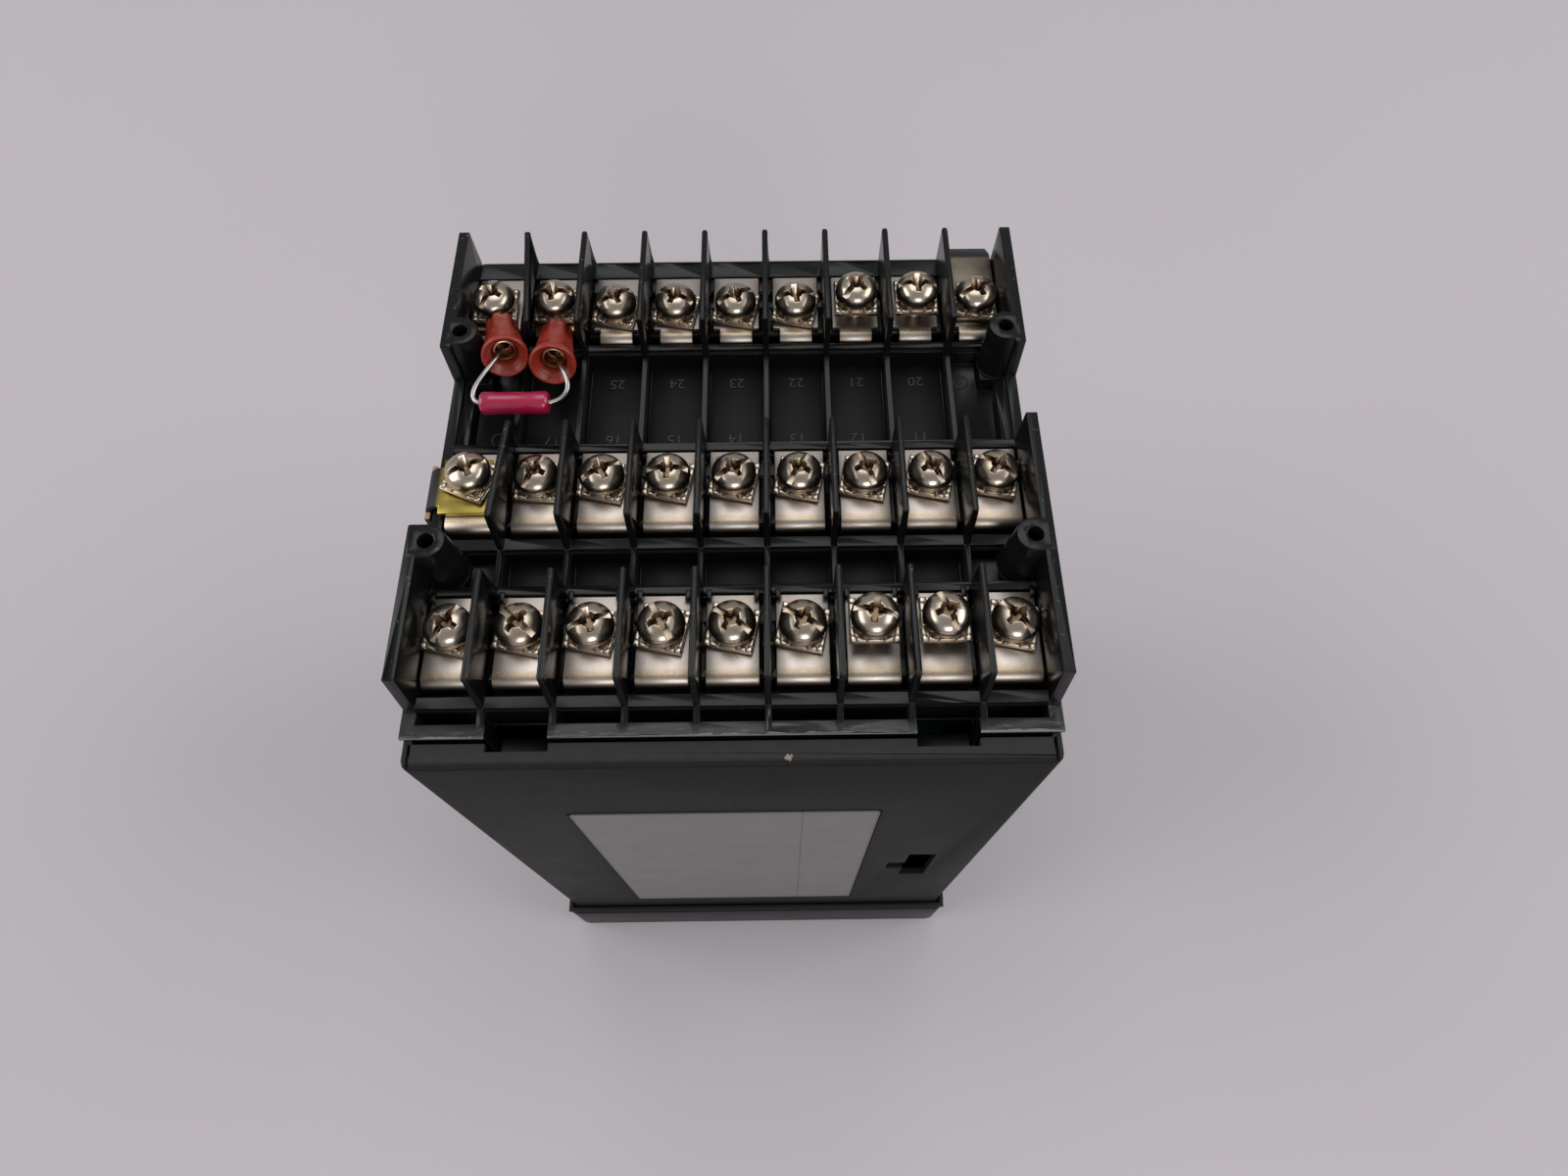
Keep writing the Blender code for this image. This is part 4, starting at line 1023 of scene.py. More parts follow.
@dataclass
class TerminalBlock:
    """The moulded block with its fins, and what is moulded onto it."""

    fin_tip: float = 1.3 * MM
    fin_reach: float = 8.05 * MM
    fin_face: float = 4.57 * MM
    wall_reach: float = 5.0 * MM
    wall_face: float = 1.9 * MM
    fin_round: float = 0.3 * MM
    line_round: float = 0.2 * MM
    edge_round: float = 0.09 * MM
    flange_drop: float = 1.5 * MM
    trough_depth: float = 5.0 * MM
    trough_wall: float = 1.9 * MM
    trough_ledge: float = 3.2 * MM
    pad_half_width: float = 4.38 * MM
    pad_height: float = 0.35 * MM
    pad_round: float = 0.14 * MM
    peg: Triple = (0.8 * MM, 1.2 * MM, 0.9 * MM)  # width, depth and height
    peg_reach: float = 3.5 * MM
    peg_round: float = 0.12 * MM
    nub_radius: float = 0.42 * MM
    nub_shape: Triple = (0.7, 1.0, 1.1)
    nub_level: float = 1.9 * MM
    nub_steps: Pair = (-2.9 * MM, 2.4 * MM)  # along Y from each screw
    number_height: float = 2.7 * MM
    number_rise: float = 0.18 * MM
    first_numbers: tuple[int, int] = (19, 10)  # of the far row and the middle one
    number_steps: Pair = (-3.9 * MM, 3.6 * MM)  # along Y from the trough's ends
    post_inset: float = 3.1 * MM
    post_radius: float = 2.67 * MM
    post_hole: float = 1.22 * MM
    post_height: float = 9.6 * MM
    post_rise: float = 0.02 * MM
    post_round: float = 0.14 * MM
    post_steps: Pair = (5.3 * MM, -4.3 * MM)  # along Y from the outer contacts
    post_feet: Pair = (3.8 * MM, 3.15 * MM)
    latch_width: float = 9.1 * MM
    latch_depth: float = 3.75 * MM

    def __post_init__(self) -> None:
        """Read the block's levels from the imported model."""
        self.low, self.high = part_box("terminal_block")
        self.contacts = {row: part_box(f"{row}_contacts") for row in Row}
        self.screws = {row: screw_places(row) for row in Row}
        self.plate_top = self.contacts[Row.NEAR][1].z
        self.floor = self.plate_top - self.trough_depth
        self.pad_top = self.floor + self.pad_height

    def build(self) -> None:
        """Build and dress every piece of the block."""
        glossy = BlockPlastic(
            name="block_plastic",
            colour=(0.0045, 0.0046, 0.0048),
            roughness=0.24,
            sheen=0.33,
            scuffs=0.2,
            flange_top=self.plate_top - self.flange_drop,
            flange_edge=self.low.y,
            crest=self.high.z,
        ).build()
        dusty = Plastic("pad_plastic", (0.0045, 0.005, 0.005), 0.5, sheen=0.22).build()
        pieces = {
            "block_moulding": (self._moulding(), glossy, "terminal_block"),
            "corner_posts": (self._posts(), glossy, ""),
            "plate_pegs": (self._pegs(), glossy, ""),
            "clamp_nubs": (self._nubs(), glossy, ""),
            "trough_pads": (self._pads(), dusty, ""),
            "terminal_numbers": (self._numbers(), glossy, ""),
        }
        for name, (mesh, material, node) in pieces.items():
            add_piece(name, mesh, material, node)

    def _moulding(self) -> Mesh:
        """Round the CAD block's fin tips and crests, and soften its other edges.

        Returns:
            The moulding.
        """
        solid = to_mesh(welded_copy("terminal_block"), "block")
        bm = opened(cut_mesh(solid, [self._latch_tool()]))
        bevel(bm, sharp_edges(bm, 30, self._is_tip), self.fin_tip, 5)
        bevel(bm, self._crests(bm), self.fin_round, 3, clamp=False)
        split_polygons(bm)
        bevel(bm, self._lines(bm), self.line_round, 3, clamp=False)
        soften(bm, self.edge_round)
        return to_mesh(bm, "block_moulding")

    def _latch_tool(self) -> Mesh:
        """Boxes that open the floor under the flange where the case's latches reach in.

        Returns:
            The boxes.
        """
        bm = bmesh.new()
        half = self.latch_width / 2
        places = self.screws[Row.NEAR]
        for place in (places[1], places[-2]):
            low = (place.x - half, self.low.y - MM, self.low.z + 0.5 * MM)
            new_box(bm, low, (place.x + half, self.low.y + self.latch_depth, self.floor - MM))
        return to_mesh(bm, "latches")

    def _is_tip(self, a: Vector, b: Vector) -> bool:
        """Whether an edge between two ends is the front or back end of a fin's crest."""
        level = max(abs(p.z - self.high.z) for p in (a, b)) < LEVEL / 2
        return level and abs(a.y - b.y) < LEVEL and (a - b).length < 2.2 * MM

    def _crests(self, bm: BMesh) -> list[BMEdge]:
        """Find the edges between the inner fins' sides and their crests and front slopes.

        Args:
            bm: The block.

        Returns:
            The edges.
        """
        low = self.high.z - self.fin_reach
        inner = self.high.x - self.wall_reach

        def on_fin(a: Vector, b: Vector) -> bool:
            """Whether an edge lies on the free part of an inner fin."""
            return min(a.z, b.z) > low and max(abs(a.x), abs(b.x)) < inner

        def is_crest(edge: BMEdge) -> bool:
            """Tell whether an edge parts a fin's side from a face that looks up or along it.

            Args:
                edge: The edge.

            Returns:
                Whether it does.
            """
            normals = [f.normal for f in edge.link_faces]
            side = any(abs(n.x) > 0.9 for n in normals)
            return side and any(abs(n.x) < 0.3 and (n.z > 0.2 or abs(n.y) > 0.5) for n in normals)

        return [e for e in sharp_edges(bm, 45, on_fin) if is_crest(e)]

    def _lines(self, bm: BMesh) -> list[BMEdge]:
        """Find the upper edges of the ledges, back walls and flange, which run across the block.

        Args:
            bm: The block.

        Returns:
            The edges.
        """
        shortest = lowest = 2.0 * MM

        def across(a: Vector, b: Vector) -> bool:
            """Whether an edge runs across the block above the trough floors."""
            level = abs(a.z - b.z) + abs(a.y - b.y) < LEVEL
            return level and (a - b).length > shortest and a.z > self.floor + lowest

        edges = sharp_edges(bm, 60, across)
        return [e for e in edges if any(f.normal.z > 0.9 for f in e.link_faces)]

    def _troughs(self) -> tuple[Pair, Pair]:
        """Find the troughs between the rows.

        Returns:
            Low and high y of the narrow trough and of the wide one.
        """
        near, middle, far = (self.contacts[row] for row in Row)
        narrow = (near[1].y + self.trough_wall, middle[0].y - self.trough_ledge)
        return narrow, (middle[1].y + self.trough_wall, far[0].y - self.trough_ledge / 2)

    def _posts(self) -> Mesh:
        """Tapered corner posts that are square towards the wall, with their screw holes.

        Returns:
            The posts.
        """
        rows = (self.contacts[Row.NEAR][1].y, self.contacts[Row.FAR][0].y)
        top = self.high.z + self.post_rise
        bm, tool = bmesh.new(), bmesh.new()
        for side in (-1, 1):
            x = side * (self.high.x - self.post_inset)
            for row, step, foot in zip(rows, self.post_steps, self.post_feet):
                self._add_post(bm, Vector((x, row + step, top)), side, foot)
                place = (x, row + step, self.high.z)
                new_rod(tool, (self.post_hole,) * 2, 4 * self.post_height, place, 24)
        bm = opened(cut_mesh(to_mesh(bm, "posts"), [to_mesh(tool, "holes")]))
        rims = sharp_edges(bm, 50, lambda a, b: min(a.z, b.z) > self.high.z)
        bevel(bm, rims, self.post_round)
        return to_mesh(bm, "corner_posts")

    def _add_post(self, bm: BMesh, top: Vector, side: int, foot: float) -> None:
        """Add one post.

        Args:
            bm: The mesh to add to.
            top: Middle of its top.
            side: Sign of the way along X to the wall.
            foot: Radius of its foot.
        """
        radius, outer = self.post_radius, self.post_inset - 0.55 * MM
        outline = arc((0, 0), radius, 90, 270, 14) + [(outer, -radius), (outer, radius)]
        points = [top + Vector((side * x, y, 0)) for x, y in outline]
        spread = foot / radius
        for vert in extrude_outline(bm, points, Vector((0, 0, -self.post_height))):
            if vert.co.z < top.z - MM:
                inward = side * (vert.co.x - top.x)
                vert.co.y = top.y + (vert.co.y - top.y) * spread
                if inward < 0:
                    vert.co.x = top.x + (vert.co.x - top.x) * spread

    def _pads(self) -> Mesh:
        """Low raised panels on the floor of each inner compartment of the troughs.

        Returns:
            The panels.
        """
        bm = bmesh.new()
        half = self.pad_half_width
        for (y0, y1), row in zip(self._troughs(), (Row.NEAR, Row.MIDDLE)):
            for place in self.screws[row][1:-1]:
                low = (place.x - half, y0 + 0.15 * MM, self.floor - 0.2 * MM)
                high = (place.x + half, y1 + 0.1 * MM, self.pad_top)
                round_box(bm, low, high, self.pad_round)
        return to_mesh(bm, "trough_pads")

    def _pegs(self) -> Mesh:
        """Pegs that hold each near contact by its rear corners.

        Returns:
            The pegs.
        """
        bm = bmesh.new()
        width, depth, height = self.peg
        back = self.contacts[Row.NEAR][1].y + 0.3 * MM
        for place in self.screws[Row.NEAR]:
            for x in (place.x - self.peg_reach, place.x + self.peg_reach):
                low = (x - width / 2, back - depth, self.plate_top + 0.05 * MM)
                high = (x + width / 2, back + 0.3 * MM, low[2] + height)
                round_box(bm, low, high, self.peg_round)
        return to_mesh(bm, "plate_pegs")

    def _nubs(self) -> Mesh:
        """Small rounded nubs on the fins that keep each clamp from turning.

        Returns:
            The nubs.
        """
        bm = bmesh.new()
        wall = self.high.x - self.wall_face
        for row, places in self.screws.items():
            for column, place in enumerate(places):
                for side in (-1, 1):
                    if self._is_bare(row, column, side):
                        continue
                    outward = side * place.x
                    face = min(self.fin_face, wall - outward) if outward > 0 else self.fin_face
                    for step in self.nub_steps:
                        level = self.plate_top + self.nub_level
                        spot = Matrix.Translation((place.x + side * face, place.y + step, level))
                        shape = Matrix.Diagonal((*self.nub_shape, 1.0))
                        new_ball(bm, self.nub_radius, spot @ shape)
        return to_mesh(bm, "clamp_nubs")

    @staticmethod
    def _is_bare(row: Row, column: int, side: int) -> bool:
        """Whether a side of a compartment is open or a fin that leans away."""
        by_leaning_fin = (column, side) in ((0, 1), (1, -1))
        return row is not Row.NEAR and (by_leaning_fin or (row is Row.MIDDLE and column == 0))

    def _numbers(self) -> Mesh:
        """Raised plain numbers in the wide trough, to be read from the far side, and two rings.

        Returns:
            The numbers and the rings.
        """
        bm = bmesh.new()
        start, end = self._troughs()[1]
        levels = (end + self.number_steps[0], start + self.number_steps[1])
        for row, y, first in zip((Row.FAR, Row.MIDDLE), levels, self.first_numbers):
            places = self.screws[row]
            last = len(places) - 1
            for column in range(1, last):
                if (row, column) != (Row.FAR, 1):
                    place = Vector((places[column].x, y, self.pad_top))
                    self._write(bm, str(first + last - column), place)
        far, middle = self.screws[Row.FAR][-1], self.screws[Row.MIDDLE][0]
        ring = in_mm([(1.05, -0.2), (1.05, 0.12), (1.2, 0.16), (1.35, 0.12), (1.35, -0.2)])
        spots = ((far.x - 2.3 * MM, levels[0]), (middle.x + 1.2 * MM, levels[1] + 0.6 * MM))
        for x, y in spots:
            spin_profile(bm, ring, Matrix.Translation((x, y, self.floor)), 28)
        bmesh.ops.remove_doubles(bm, verts=bm.verts, dist=WELD / 2)
        return to_mesh(bm, "terminal_numbers")

    def _write(self, bm: BMesh, words: str, place: Vector) -> None:
        """Add raised figures that stand upside down to the label side.

        Args:
            bm: The mesh to add to.
            words: The figures.
            place: Their middle.
        """
        curve = bpy.data.curves.new("figures", "FONT")
        curve.body = words
        curve.size = self.number_height
        curve.align_x = "CENTER"
        curve.align_y = "CENTER"
        curve.extrude = self.number_rise
        curve.resolution_u = 3
        mesh = evaluated_mesh(add_object("figures", curve))
        mesh.transform(Matrix.Translation(place) @ turned(180))
        bm.from_mesh(mesh)


def screw_places(row: Row) -> list[Vector]:
    """Find the clamps of a row.

    Args:
        row: The row.

    Returns:
        Middle of each clamp's underside, from left to right.
    """
    found = []
    for column in range(1, 10):
        node = f"screw_{row}_{column}"
        middle = middle_of(node)
        middle.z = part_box(node)[0].z + TerminalScrew.shank_length
        found.append(middle)
    return found


@dataclass
class TerminalScrew:
    """Combination-head screw with its clamp plate and washer, as meshes that are repeated."""

    shank_length: float = 6.8 * MM
    shank_radius: float = 1.5 * MM
    thread: Pair = (0.7 * MM, 0.35 * MM)  # pitch and depth
    head_radius: float = 3.45 * MM
    head_rim: float = 0.55 * MM
    head_height: float = 2.6 * MM
    head_edge: float = 0.12 * MM
    dome_power: float = 2.3
    washer_radius: float = 3.15 * MM
    washer_height: float = 0.8 * MM
    plate: Triple = (7.2 * MM, 6.9 * MM, 1.0 * MM)  # width, depth and height
    plate_round: float = 0.12 * MM
    plate_inset: float = 0.1 * MM
    bead: float = 0.72 * MM
    bead_foot: float = 0.35
    bead_round: float = 0.15 * MM
    nub_round: float = 0.18 * MM
    slot_width: float = 0.88 * MM
    slot_depth: float = 1.15 * MM
    cross_length: float = 4.5 * MM
    cross_width: float = 1.05 * MM
    cross_depth: float = 2.0 * MM
    cross_taper: Pair = (0.46, 0.62)  # foot against top, along a wing and across it
    cross_middle: Pair = (0.45 * MM, 1.25 * MM)  # radius at the foot and at the top
    lip_round: float = 0.06 * MM

    @property
    def seat(self) -> float:
        """Height of the head's underside above the clamp's underside."""
        return self.plate[2] + self.washer_height

    @property
    def top(self) -> float:
        """Height of the head's crown."""
        return self.seat + self.head_height

    def dome(self, radius: float) -> float:
        """Find the height of the head's outside.

        Args:
            radius: Distance from the screw's axis.

        Returns:
            The height above the clamp's underside.
        """
        share = min(1.0, radius / self.head_radius)
        rise = self.head_height - self.head_rim
        return self.seat + self.head_rim + rise * math.sqrt(1.0 - share**self.dome_power)

    def head_mesh(self) -> Mesh:
        """Make the domed head with a full slot across a cross recess.

        Returns:
            The head, with "recess" on its points.
        """
        steps, edge = 12, self.head_edge
        radii = [self.head_radius * math.sin(math.pi / 2 * i / steps) for i in range(steps + 1)]
        profile = [(r, self.dome(r)) for r in radii]
        profile += [(self.head_radius, self.seat + edge), (self.head_radius - edge, self.seat)]
        profile.append((0.0, self.seat))
        bm = bmesh.new()
        spin_profile(bm, profile, steps=56)
        bm = opened(cut_mesh(to_mesh(bm, "head"), self._recess_tools()))
        lips = sharp_edges(bm, 33, lambda a, b: min(a.z, b.z) > self.seat + 0.6 * MM)
        bevel(bm, lips, self.lip_round)
        mesh = to_mesh(bm, "head")
        # painted shade: "recess" darkens the inside of the cross recess
        mark_points(mesh, "recess", self._sunk)
        return mesh

    def _sunk(self, point: Vector) -> float:
        """Tell whether a point of the head lies in the cross recess.

        Args:
            point: The point.

        Returns:
            1 where it does, or 0.
        """
        radius = math.hypot(point.x, point.y)
        outside = self.dome(radius) - point.z < 0.2 * MM or point.z < self.seat + 0.2 * MM
        return float(not outside and radius < 0.52 * self.cross_length)

    def _recess_tools(self) -> list[Mesh]:
        """Make the cutters of the slot, the wings of the cross and its middle.

        Returns:
            Closed meshes.
        """
        reach, half = 2 * self.head_radius, self.slot_width / 2
        bm = bmesh.new()
        low = (-reach, -half, self.top - self.slot_depth)
        new_box(bm, low, (reach, half, self.top + self.head_height))
        tools = [to_mesh(bm, "slot")]
        arm, wing = self.cross_length / 2, self.cross_width / 2
        for turn in (0.0, 90.0):
            bm = bmesh.new()
            low = (-arm, -wing, self.top - self.cross_depth)
            for vert in new_box(bm, low, (arm, wing, self.top + 0.2 * MM)):
                if vert.co.z < self.top:
                    vert.co.x *= self.cross_taper[0]
                    vert.co.y *= self.cross_taper[1]
            bm.transform(turned(turn))
            tools.append(to_mesh(bm, "wing"))
        bm = bmesh.new()
        middle = (0, 0, self.top - self.cross_depth / 2)
        new_rod(bm, self.cross_middle, self.cross_depth, middle, 24)
        return [*tools, to_mesh(bm, "middle")]

    def clamp_mesh(self) -> Mesh:
        """Make the clamp plate with a beaded rim, its washer and the shank below.

        Returns:
            The clamp, with "shade" on its points.
        """
        bm = bmesh.new()
        width, depth, height = self.plate
        floor = height * 0.62
        low = (-width / 2, -depth / 2, 0)
        round_box(bm, low, (width / 2, depth / 2, floor), self.plate_round)
        for length, reach, turn in ((width, depth / 2, 0), (depth, width / 2, 90)):
            for side in (-1, 1):
                self._add_beads(bm, length, side * (reach - self.plate_inset), turn)
        x, y = width / 2 - self.plate_inset, depth / 2 - self.plate_inset
        for corner in ((-x, -y), (-x, y), (x, -y), (x, y)):
            self._add_nub(bm, *corner)
        ring = [
            (self.shank_radius, floor),
            (self.washer_radius - 0.15 * MM, floor),
            (self.washer_radius, floor + 0.15 * MM),
            (self.washer_radius, self.seat - 0.2 * MM),
            (self.washer_radius - 0.2 * MM, self.seat),
            (self.shank_radius, self.seat),
        ]
        spin_profile(bm, ring, steps=40)
        self._add_shank(bm)
        mesh = to_mesh(bm, "clamp")
        mark_points(mesh, "shade", lambda p: 0.5 if p.z < 0.55 * height else 0.0)
        return mesh

    def _add_shank(self, bm: BMesh) -> None:
        """Add the threaded shank below the clamp, with a pointed thread form.

        Args:
            bm: The mesh to add to.
        """
        pitch, core = self.thread[0], self.shank_radius - self.thread[1]
        profile = [(0.0, self.seat), (core, self.seat)]
        height = 0.0
        while height > pitch - self.shank_length:
            profile += [(core, height), (self.shank_radius, height - pitch / 2)]
            height -= pitch
        profile += [(core, height), (core * 0.8, -self.shank_length), (0.0, -self.shank_length)]
        spin_profile(bm, profile, steps=20)

    def _add_beads(self, bm: BMesh, length: float, edge: float, turn: float) -> None:
        """Add the beads along one side of the plate, parted by narrow notches.

        Args:
            bm: The mesh to add to.
            length: The side's length.
            edge: The side's place, before it is turned.
            turn: How far the side is turned about the screw, in degrees.
        """
        height = self.plate[2]
        y0, y1 = sorted((edge, edge - math.copysign(self.bead, edge)))
        end = 0.5 - 1.0 * MM / length
        for start, stop in ((-end, -0.17), (-0.155, 0.165), (0.18, end)):
            low = (start * length, y0, height * self.bead_foot)
            verts = new_box(bm, low, (stop * length, y1, height))
            bmesh.ops.transform(bm, verts=verts, matrix=turned(turn))
            bevel(bm, edges_of(verts), self.bead_round, 3)

    def _add_nub(self, bm: BMesh, x: float, y: float) -> None:
        """Add the raised nub at one corner of the plate.

        Args:
            bm: The mesh to add to.
            x: The corner's place along X.
            y: Its place along Y.
        """
        x0, x1 = sorted((x, x - math.copysign(1.2 * self.bead, x)))
        y0, y1 = sorted((y, y - math.copysign(1.2 * self.bead, y)))
        foot, top = self.plate[2] * self.bead_foot, self.plate[2] * 1.02
        round_box(bm, (x0, y0, foot), (x1, y1, top), self.nub_round, 3)


@dataclass
class ScrewSet:
    """The 27 terminal screws, each with its own turn of slot and clamp plate, in degrees."""

    screw: TerminalScrew = field(default_factory=TerminalScrew)
    usual_turn: float = -12.0
    slots: dict[Row, tuple[float, ...]] = field(
        default_factory=lambda: {
            Row.NEAR: (62, -38, 18, -62, -35, -30, -12, -70, -50),
            Row.MIDDLE: (25, 65, 28, 0, 32, 58, -68, -62, -38),
            Row.FAR: (62, 0, 30, -24, 25, 8, 48, 0, 25),
        }
    )
    turns: dict[Row, dict[int, float]] = field(
        default_factory=lambda: {
            Row.NEAR: {6: 0.0, 7: 0.0},
            Row.MIDDLE: {0: -24.0, 1: -4.0},
            Row.FAR: {0: 0.0, 1: 0.0, 6: 0.0, 7: 0.0},
        }
    )

    def build(self) -> None:
        """Build every screw in the nickel finish."""
        nickel = Plated("warm_nickel", (0.64, 0.55, 0.45), (0.46, 0.31, 0.16)).build()
        head, clamp = self.screw.head_mesh(), self.screw.clamp_mesh()
        for row in Row:
            for column, place in enumerate(screw_places(row)):
                turn = self.turns[row].get(column, self.usual_turn)
                mesh = self._joined(((head, self.slots[row][column]), (clamp, turn)), place)
                end = f"{row}_{column + 1}"
                name, body = f"terminal_screw_{end}", f"clamp_{end}"
                add_piece(name, mesh, nickel, f"screw_{end}", body)

    @staticmethod
    def _joined(parts: Iterable[tuple[Mesh, float]], place: Vector) -> Mesh:
        """Turn parts about the screw's axis, set them in place and join them.

        Args:
            parts: Each part's mesh and turn in degrees.
            place: The screw's place.

        Returns:
            The joined mesh.
        """
        bm = bmesh.new()
        for mesh, turn in parts:
            old = len(bm.verts)
            bm.from_mesh(mesh)
            bm.verts.ensure_lookup_table()
            matrix = Matrix.Translation(place) @ turned(turn)
            bmesh.ops.transform(bm, matrix=matrix, verts=bm.verts[old:])
        return to_mesh(bm, "terminal_screw")


@dataclass
class ContactRows:
    """Plated contacts whose front ends turn down in a smooth bend."""

    thickness: float = 0.8 * MM
    bend_radius: float = 1.6 * MM
    width: float = 7.64 * MM
    tab_width: float = 5.4 * MM
    shoulder: float = 3.6 * MM
    edge_round: float = 0.12 * MM
    rub_glint_width: float = 0.9 * MM
    shade_depth: float = 1.1 * MM

    def build(self) -> None:
        """Build and dress the contacts of each row."""
        brass = Plated(
            "plated_brass", (0.74, 0.66, 0.6), (0.6, 0.43, 0.25), 0.4, tarnished=0.25, specks=0.2
        ).build()
        for row in Row:
            mesh = self._row_mesh(row)
            self._mark_bends(mesh, row)
            add_piece(f"{row}_contact_plates", mesh, brass, f"{row}_contacts")

    def _mark_bends(self, mesh: Mesh, row: Row) -> None:
        """Mark the start of each bend for rubs and painted glint, and the painted shade below it.

        Args:
            mesh: The row's plates.
            row: The row.
        """
        low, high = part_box(f"{row}_contacts")
        start = low.y + self.bend_radius

        # marks rubs and a painted glint along the line where the plate starts to bend
        def rub_and_sheen(point: Vector) -> float:
            """How near a point is to the line where the plate starts to bend."""
            along = 1.0 - abs(point.y - start) / self.rub_glint_width
            return max(0.0, along) if high.z - point.z < self.thickness / 2 else 0.0

        # marks painted shade, deeper the farther down the bend
        def shaded_down_bend(point: Vector) -> float:
            """How far a point lies down the bend, from 0 to 1."""
            return min(1.0, (high.z - point.z) / self.shade_depth) if point.y < start else 0.0

        mark_points(mesh, "wear_and_glint", rub_and_sheen)
        mark_points(mesh, "shade", shaded_down_bend)

    def _row_mesh(self, row: Row) -> Mesh:
        """Make the nine plates of a row.

        Args:
            row: The row.

        Returns:
            The plates.
        """
        low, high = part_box(f"{row}_contacts")
        places = screw_places(row)
        bm = bmesh.new()
        for place in places:
            left = place.x - self.width / 2
            points = [Vector((left, y, z)) for y, z in self._outline(low, high)]
            extrude_outline(bm, points, Vector((self.width, 0, 0)))
        mesh = to_mesh(bm, "plates")
        if row is Row.FAR:
            mesh = cut_mesh(mesh, [self._corner_tool(places, low)])
        bm = opened(mesh)
        bevel(bm, sharp_edges(bm, 40), self.edge_round)
        return to_mesh(bm, f"{row}_plates")

    def _outline(self, low: Vector, high: Vector) -> list[Pair]:
        """Draw the side of a plate with its bend and leg.

        Args:
            low: Lowest corner of the row.
            high: Its highest corner.

        Returns:
            The outline's (y, z) points.
        """
        top, front = high.z, low.y
        centre = (front + self.bend_radius, top - self.bend_radius)
        outer = arc(centre, self.bend_radius, 90, 180, 8)
        inner = arc(centre, self.bend_radius - self.thickness, 180, 90, 8)
        back = [(high.y, top - self.thickness), (high.y, top)]
        before = [(front + self.bend_radius + self.rub_glint_width, top)]
        leg = [(front, low.z), (front + self.thickness, low.z)]
        return [*back, *before, *outer, *leg, *inner]

    def _corner_tool(self, places: Iterable[Vector], low: Vector) -> Mesh:
        """Make the boxes that narrow the front of each far plate to its tab.

        Args:
            places: The row's screws.
            low: Lowest corner of the row.

        Returns:
            The boxes.
        """
        bm = bmesh.new()
        outer, inner = self.width / 2 + 0.3 * MM, self.tab_width / 2
        for place in places:
            for a, b in ((-outer, -inner), (inner, outer)):
                high = (place.x + b, place.y - self.shoulder, place.z + MM)
                new_box(bm, (place.x + a, low.y - MM, low.z - MM), high)
        return to_mesh(bm, "corners")


@dataclass
class Case:
    """The square case with its softened rear rim, its band and its label."""

    edge_round: float = 0.15 * MM
    rim_round: float = 1.2 * MM
    groove_width: float = 0.4 * MM
    groove_depth: float = 1.1 * MM
    lip_width: float = 1.0 * MM
    band_width: float = 3.6 * MM
    chip: Triple = (7.8 * MM, 1.0 * MM, -0.1 * MM)
    divider: float = 10.2 * MM
    label_corner: float = 0.8 * MM

    def __post_init__(self) -> None:
        """Read the case's box."""
        self.low, self.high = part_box("case_sleeve")

    def build(self) -> None:
        """Build and dress the case and its label."""
        low, high = self.low, self.high
        satin = CasePlastic(
            name="case_plastic",
            colour=(0.0155, 0.0155, 0.015),
            roughness=0.46,
            sheen=0.03,
            grain_depth=0.012 * MM,
            grain_size=0.3 * MM,
            scuffs=0.15,
            chip=(self.chip[0], low.y + self.chip[1], high.z + self.chip[2]),
            rim=high.z,
        ).build()

        def is_front_rim(a: Vector, b: Vector) -> bool:
            """Whether an edge is the label side's edge of the rear rim."""
            return all(abs(p.z - high.z) + abs(p.y - low.y) < LEVEL for p in (a, b))

        bm = welded_copy("case_sleeve")
        bevel(bm, sharp_edges(bm, 60, is_front_rim), self.rim_round, 6)
        bm = opened(cut_mesh(to_mesh(bm, "case"), [self._groove_tool()]))
        bmesh.ops.remove_doubles(bm, verts=bm.verts, dist=WELD)
        soften(bm, self.edge_round)
        mesh = to_mesh(bm, "case_shell")
        add_piece("case_shell", mesh, satin, "case_sleeve")
        self._build_label()

    def _groove_tool(self) -> Mesh:
        """Make the boxes that part the rear band from the case's two side lips.

        Returns:
            The boxes.
        """
        bm, low, high = bmesh.new(), self.low, self.high
        for side, edge in ((1, low.x), (-1, high.x)):
            lip = edge + side * self.lip_width
            x0, x1 = sorted((lip, lip + side * self.groove_width))
            foot = (x0, low.y - MM, high.z - self.groove_depth)
            new_box(bm, foot, (x1, low.y + self.band_width, high.z + MM))
        return to_mesh(bm, "grooves")

    def _build_label(self) -> None:
        """Build the bare rating label as a film with slightly rounded corners."""
        low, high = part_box("rating_label")
        film = LabelFilm(name="label_film", low=low, high=high, divider=self.divider).build()
        bm = bmesh.new()
        edges = edges_of(new_box(bm, low, high))
        corners = [e for e in edges if abs(e.verts[0].co.y - e.verts[1].co.y) > MM / 20]
        bevel(bm, corners, self.label_corner, 4)
        add_piece("blank_label", to_mesh(bm, "label"), film, "rating_label")


